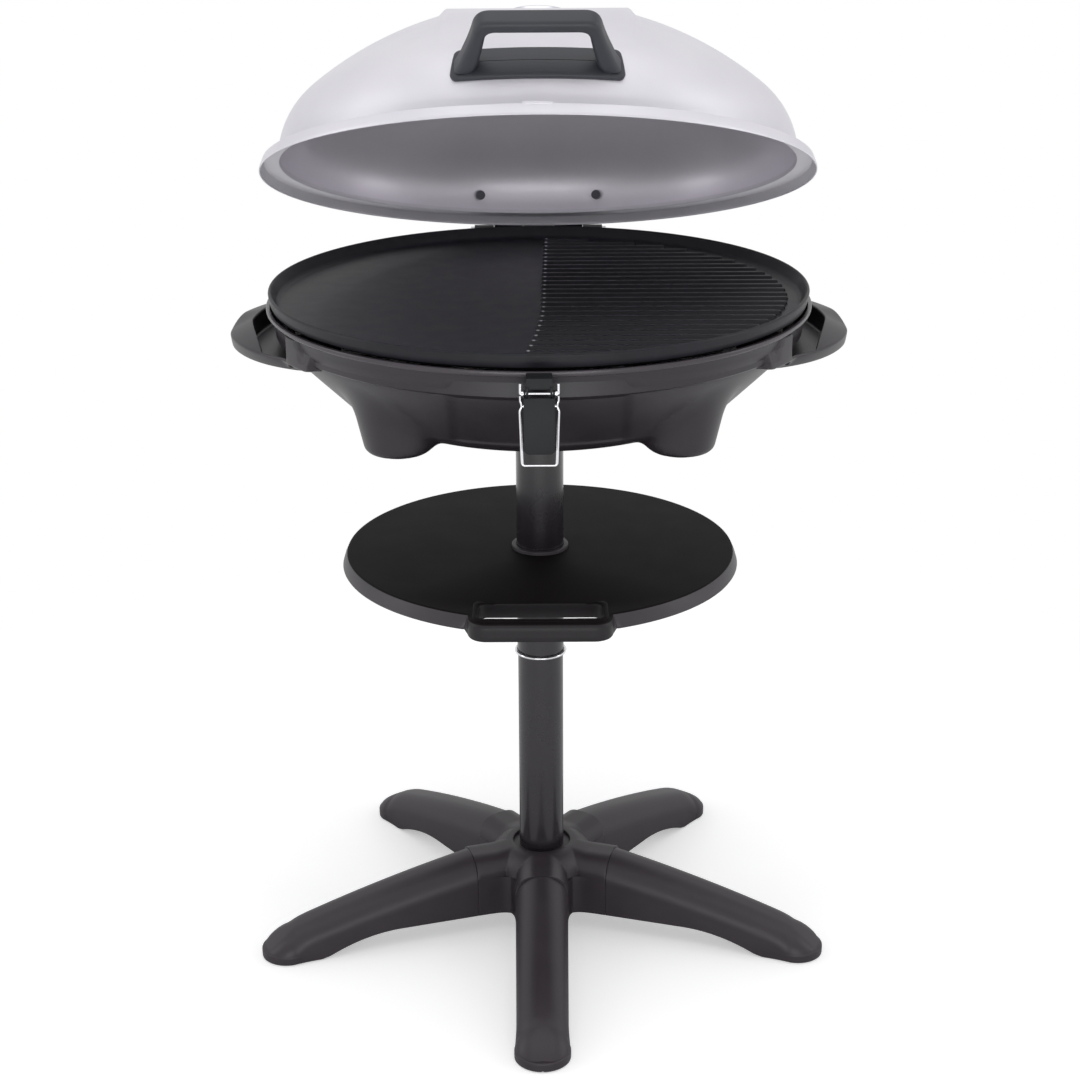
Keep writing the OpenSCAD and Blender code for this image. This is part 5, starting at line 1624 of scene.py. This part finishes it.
    def make_grip(self) -> None:
        """Make the handle's arched grip, as sections between its two outlines."""
        outer = smooth_path(mirrored([(-61.5, -3), (-58, 4), (-49.5, 27), (-44.5, 47.3)]), 16.0, 9)
        inner = smooth_path(mirrored([(-46.5, -3), (-44, 2), (-39.5, 22), (-37, 36.5)]), 9.0, 9)
        rows = []
        for o, i in zip(outer, inner):
            middle, reach = (o + i) / 2, np.linalg.norm(o - i) / 2
            ahead = (o - i) / (2 * reach)
            ring = rounded_box(reach, 8.2, min(4.2, reach - 0.5), 6, (1, 2))
            rows.append([(middle[0] + ahead[0] * p[0], -1.8 + p[1], middle[1] + ahead[1] * p[0])
                         for p in ring])
        grip = Skin().rows(np.array(rows), first=True, last=True).moved(self.on_grip)
        self.shop.add("lid_handle_grip", grip, GRIP_PLASTIC, Body.LID, smooth_angle=60)

    def on_grip(self, points: Array) -> Array:
        """Place corners of the grip.

        Args:
            points: Corners with x across, y up the dome and z away from it.

        Returns:
            The corners on the lid at rest.
        """
        lift = math.radians(self.grip_angle)
        out, up = self.shoulder + points[:, 2], points[:, 1]
        r = self.dome - self.shoulder + out * math.cos(lift) - up * math.sin(lift)
        z = self.shoulder_z + out * math.sin(lift) + up * math.cos(lift)
        return self.place(np.stack([points[:, 0], -r, z], axis=1))


# ---------------------------------------------------------------- latch


@dataclass
class Latch:
    """Front latch: bent pin, lever and the wire bail that hooks on the lid.

    Attributes:
        shop: Workshop that makes the pieces.
        y: Distance of the pin in front of the middle.
        z: Height of the pin.
        half: Half width of the lever.
        pin: Radius of the pin.
        bend: Height of the pin's bent ends.
        drop: Distance from the pin down to the bail's pivot.
        length: Length of the bail from its pivot to its bar.
        wire: Radius of the bail's wire.
        collar: How much wider than the pin its two collars are.
    """

    shop: Workshop
    y: float = 239.5
    z: float = 571.0
    half: float = 11.5
    pin: float = 1.1
    bend: float = 6.6
    drop: float = 9.6
    length: float = 46.0
    wire: float = 0.95
    collar: float = 0.9

    def build(self) -> None:
        """Make the pin and the bail."""
        self.make_pin()
        self.make_bail()

    def crossbar(self, sign: int, start: float, end: float, z: float) -> Array:
        """Short level line on one side.

        Args:
            sign: 1 for the right side and -1 for the left.
            start: Where it starts, from the middle.
            end: Where it ends.
            z: Its height.

        Returns:
            Its two ends.
        """
        return np.array([(sign * start, -self.y, z), (sign * end, -self.y, z)])

    def make_pin(self) -> None:
        """Make the pin with its bent ends and its collars."""
        reach, top = self.half + 2.5, self.z + self.bend + 1.1
        line = [(x, -self.y, z) for x, z in mirrored([(-reach, top), (-reach, self.z)])]
        skin = Skin().wire(smooth_path(line, 0.6, 6), self.pin, 24)
        for sign in (-1, 1):
            bar = self.crossbar(sign, self.half + 0.5, self.half + 1.9, self.z)
            skin.wire(bar, self.pin + self.collar, 24)
        piece = self.shop.add("latch_bent_pin", skin, CHROME, Body.GRILL, 60)
        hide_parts("latch_pin")

    def make_bail(self) -> None:
        """Make the wire bail with the two stubs that it turns on."""
        reach, pivot, low = self.half + 2.5, self.z - self.drop, self.z - self.drop - self.length
        side = [(reach, pivot + 8), (reach, pivot + 4), (reach - 0.6, pivot + 2.6),
                (self.half + 1.5, pivot + 0.6),
                (self.half + 1.5, pivot - 0.6), (self.half + 2.5, pivot - 2.6), (self.half + 2.9, pivot - 4),
                (self.half + 1.6, low + 4), (self.half + 1.3, low)]
        corners = [(x, -self.y, z) for x, z in mirrored([(-x, z) for x, z in side])]
        skin = Skin().wire(smooth_path(corners, 3.0, 7), self.wire, 24)
        for sign in (-1, 1):
            skin.wire(self.crossbar(sign, self.half + 1.8, self.half - 2.4, pivot), self.wire - 0.02, 20)
        piece = self.shop.add("latch_wire_bail", skin, CHROME, Body.BAIL, 60)
        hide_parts("latch_bail")


# ---------------------------------------------------------------- studio


@dataclass(frozen=True)
class Lamp:
    """One soft rectangular lamp.

    Attributes:
        name: Name of the lamp.
        place: Where it hangs, in metres.
        aim: Point that it faces.
        width: Its width in metres.
        height: Its height in metres.
        power: Its power in watts.
    """

    name: str
    place: Point
    aim: Point
    width: float
    height: float
    power: float

    def build(self) -> None:
        """Hang the lamp."""
        data = bpy.data.lights.new(self.name, "AREA")
        data.shape = "RECTANGLE"
        data.size = self.width
        data.size_y = self.height
        data.energy = self.power
        lamp = put_in_scene(self.name, data)
        lamp.location = self.place
        lamp.rotation_euler = (Vector(self.aim) - Vector(self.place)).to_track_quat("-Z", "Y").to_euler()


LAMPS: tuple[Lamp, ...] = (
    Lamp("lamp_top", (0.0, -0.3, 2.6), (0.0, 0.0, 0.5), 2.2, 2.2, 14.0),
    Lamp("lamp_left", (-2.1, -0.2, 1.2), (0.0, 0.0, 0.5), 0.6, 1.8, 7.0),
    Lamp("lamp_right", (2.1, -0.2, 1.2), (0.0, 0.0, 0.5), 0.6, 1.8, 7.0),
    Lamp("lamp_low", (0.0, -2.4, 0.3), (0.0, 0.0, 0.8), 2.2, 0.5, 15.0),
)


@dataclass
class Studio:
    """Floor, backdrop, lamps and camera.

    Attributes:
        eye: Place of the camera, in metres.
        yaw: Turn of the camera to the right, in radians.
        pitch: How far the camera looks down, in radians.
        roll: Turn of the camera about its own line of sight, in radians.
        lens: Focal length in millimetres, on a sensor 36 mm wide.
        bright_side: Direction in which the surroundings are brightest.
        dim: Strength of the surroundings on the camera's side.
        bright: Strength of the surroundings above and behind.
        floor_half: Half width of the floor, in metres.
        floor_glow: How much lighter the floor looks to the eye.
        fade: Distances between which the floor turns to pure white, in metres.
    """

    eye: Point = (-0.0002, -1.7614, 1.0208)
    yaw: float = 0.0001
    pitch: float = 0.3552
    roll: float = -0.0052
    lens: float = 71.773
    bright_side: Point = (0.0, 0.5, 0.866)
    dim: float = 0.46
    bright: float = 0.6
    floor_half: float = 6.0
    floor_glow: float = 0.42
    fade: Pair = (0.45, 0.95)

    def build(self) -> None:
        """Make the whole studio."""
        self.make_camera()
        self.make_world()
        self.make_floor()
        for lamp in LAMPS:
            lamp.build()
        bpy.context.scene.view_settings.view_transform = "Standard"

    def make_camera(self) -> None:
        """Place the camera."""
        ahead = Vector((math.sin(self.yaw) * math.cos(self.pitch), math.cos(self.yaw) * math.cos(self.pitch),
                        -math.sin(self.pitch)))
        side = Vector((math.cos(self.yaw), -math.sin(self.yaw), 0.0))
        above = side.cross(ahead)
        right = side * math.cos(self.roll) + above * math.sin(self.roll)
        up = above * math.cos(self.roll) - side * math.sin(self.roll)
        data = bpy.data.cameras.new("camera")
        data.lens = self.lens
        data.sensor_width = 36.0
        data.clip_start = 0.05
        data.clip_end = 50.0
        camera = put_in_scene("camera", data)
        turn = Matrix((right, up, -ahead)).transposed().to_4x4()
        camera.matrix_world = Matrix.Translation(Vector(self.eye)) @ turn
        bpy.context.scene.camera = camera

    def make_world(self) -> None:
        """Light from all round, and a white backdrop for the eye and for gloss."""
        world = bpy.data.worlds.new("studio_world")
        bpy.context.scene.world = world
        world.use_nodes = True
        wiring = Wiring(world.node_tree)
        wiring.nodes.clear()
        towards = wiring.add("VectorMath", {0: wiring.add("TexCoord")["Generated"], 1: self.bright_side},
                             operation="DOT_PRODUCT")
        bright = wiring.add("MapRange", {"Value": towards["Value"], "From Min": -0.5, "From Max": 0.8,
                                         "To Min": self.dim, "To Max": self.bright},
                            interpolation_type="SMOOTHSTEP")["Result"]
        soft = wiring.add("Background", {"Color": WHITE, "Strength": bright})
        white = wiring.add("Background", {"Color": WHITE, "Strength": 1.0})
        choose = wiring.add("MixShader", {"Fac": self.seen(wiring, bright), 1: soft["Background"],
                                          2: white["Background"]})
        wiring.add("OutputWorld", {"Surface": choose["Shader"]})

    @staticmethod
    def seen(wiring: Wiring, bright: Optional[bpy.types.NodeSocket] = None) -> bpy.types.NodeSocket:
        """Tell the rays that look at the backdrop from those that light the grill.

        Args:
            wiring: Node tree of the material or world.
            bright: Socket that says how bright the surroundings are, for rays off gloss.

        Returns:
            Socket that is 1 for the eye and, on the bright side, for gloss and glass.
        """
        path = wiring.add("LightPath")
        gloss = wiring.add("Math", {0: path["Is Glossy Ray"], 1: path["Is Transmission Ray"]},
                           operation="MAXIMUM")["Value"]
        if bright is not None:
            gloss = wiring.add("Math", {0: gloss, 1: bright}, operation="MULTIPLY")["Value"]
        return wiring.add("Math", {0: path["Is Camera Ray"], 1: gloss}, operation="MAXIMUM")["Value"]

    def make_floor(self) -> None:
        """A wide pale floor that keeps the grill's shadow."""
        half = self.floor_half
        mesh = bpy.data.meshes.new("floor")
        corners = [(-half, -half, 0), (half, -half, 0), (half, half, 0), (-half, half, 0)]
        mesh.from_pydata(corners, [], [(0, 1, 2, 3)])
        floor = put_in_scene("floor", mesh)
        mesh.materials.append(self.floor_material())

    def floor_material(self) -> bpy.types.Material:
        """Pale floor near the grill, which fades to pure white for the eye.

        Returns:
            The finished material.
        """
        material = bpy.data.materials.new("pale_floor")
        material.use_nodes = True
        wiring = Wiring(material.node_tree)
        shader = wiring.nodes["Principled BSDF"]
        wiring.feed(shader, {"Base Color": (0.86, 0.86, 0.87, 1.0), "Roughness": 0.7,
                             "Specular IOR Level": 0.1})
        gain = wiring.add("Math", {0: wiring.add("LightPath")["Is Camera Ray"], 1: self.floor_glow},
                          operation="MULTIPLY")
        glow = wiring.add("Emission", {"Color": WHITE, "Strength": gain["Value"]})
        pale = wiring.add("AddShader", {0: shader.outputs["BSDF"], 1: glow["Emission"]})
        away = wiring.add("VectorMath", {0: wiring.add("TexCoord")["Object"]}, operation="LENGTH")
        far = wiring.add("MapRange", {"Value": away["Value"], "From Min": self.fade[0],
                                      "From Max": self.fade[1]}, interpolation_type="SMOOTHSTEP")
        share = wiring.add("Math", {0: far["Result"], 1: self.seen(wiring)}, operation="MULTIPLY")
        white = wiring.add("Emission", {"Color": WHITE})
        blend = wiring.add("MixShader", {"Fac": share["Value"], 1: pale["Shader"], 2: white["Emission"]})
        wiring.feed(wiring.nodes["Material Output"], {"Surface": blend["Shader"]})
        return material


# ---------------------------------------------------------------- all together


SOFTENED: dict[str, tuple[Finish, Body, float]] = {
    "hinge_bracket": (BLACK_METAL, Body.GRILL, 0.6), "hinge_leaf": (BLACK_METAL, Body.LID, 0.5),
    "latch_bracket": (BLACK_METAL, Body.GRILL, 0.4), "latch_lever": (BLACK_METAL, Body.LEVER, 0.35),
    "tray_support": (BASE_PLASTIC, Body.STAND, 0.8), "column_cap": (BASE_PLASTIC, Body.STAND, 0.5),
    "tray_bush": (TRAY_PLASTIC, Body.TRAY, 0.6), "stand_socket": (BOWL_PLASTIC, Body.GRILL, 0.6),
    "vent_disc": (VENT_METAL, Body.VENT, 0.4), "inlet_housing": (INLET_PLASTIC, Body.GRILL, 0.6),
}


def main() -> None:
    """Build the grill's looks in order."""
    logging.basicConfig(level=logging.INFO, format="%(name)s: %(message)s")
    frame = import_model()
    shop = Workshop(frame)
    for node, finish in FINISH_OF_NODE.items():
        shop.dress_node(node, finish)
    for part in (Stand(shop), Tray(shop), Bowl(shop), GrillPlate(shop), Lid(shop), Latch(shop)):
        part.build()
    for node, (finish, body, width) in SOFTENED.items():
        shop.soften(node, finish, body, width)
    Studio().build()


if __name__ == "__main__":
    main()
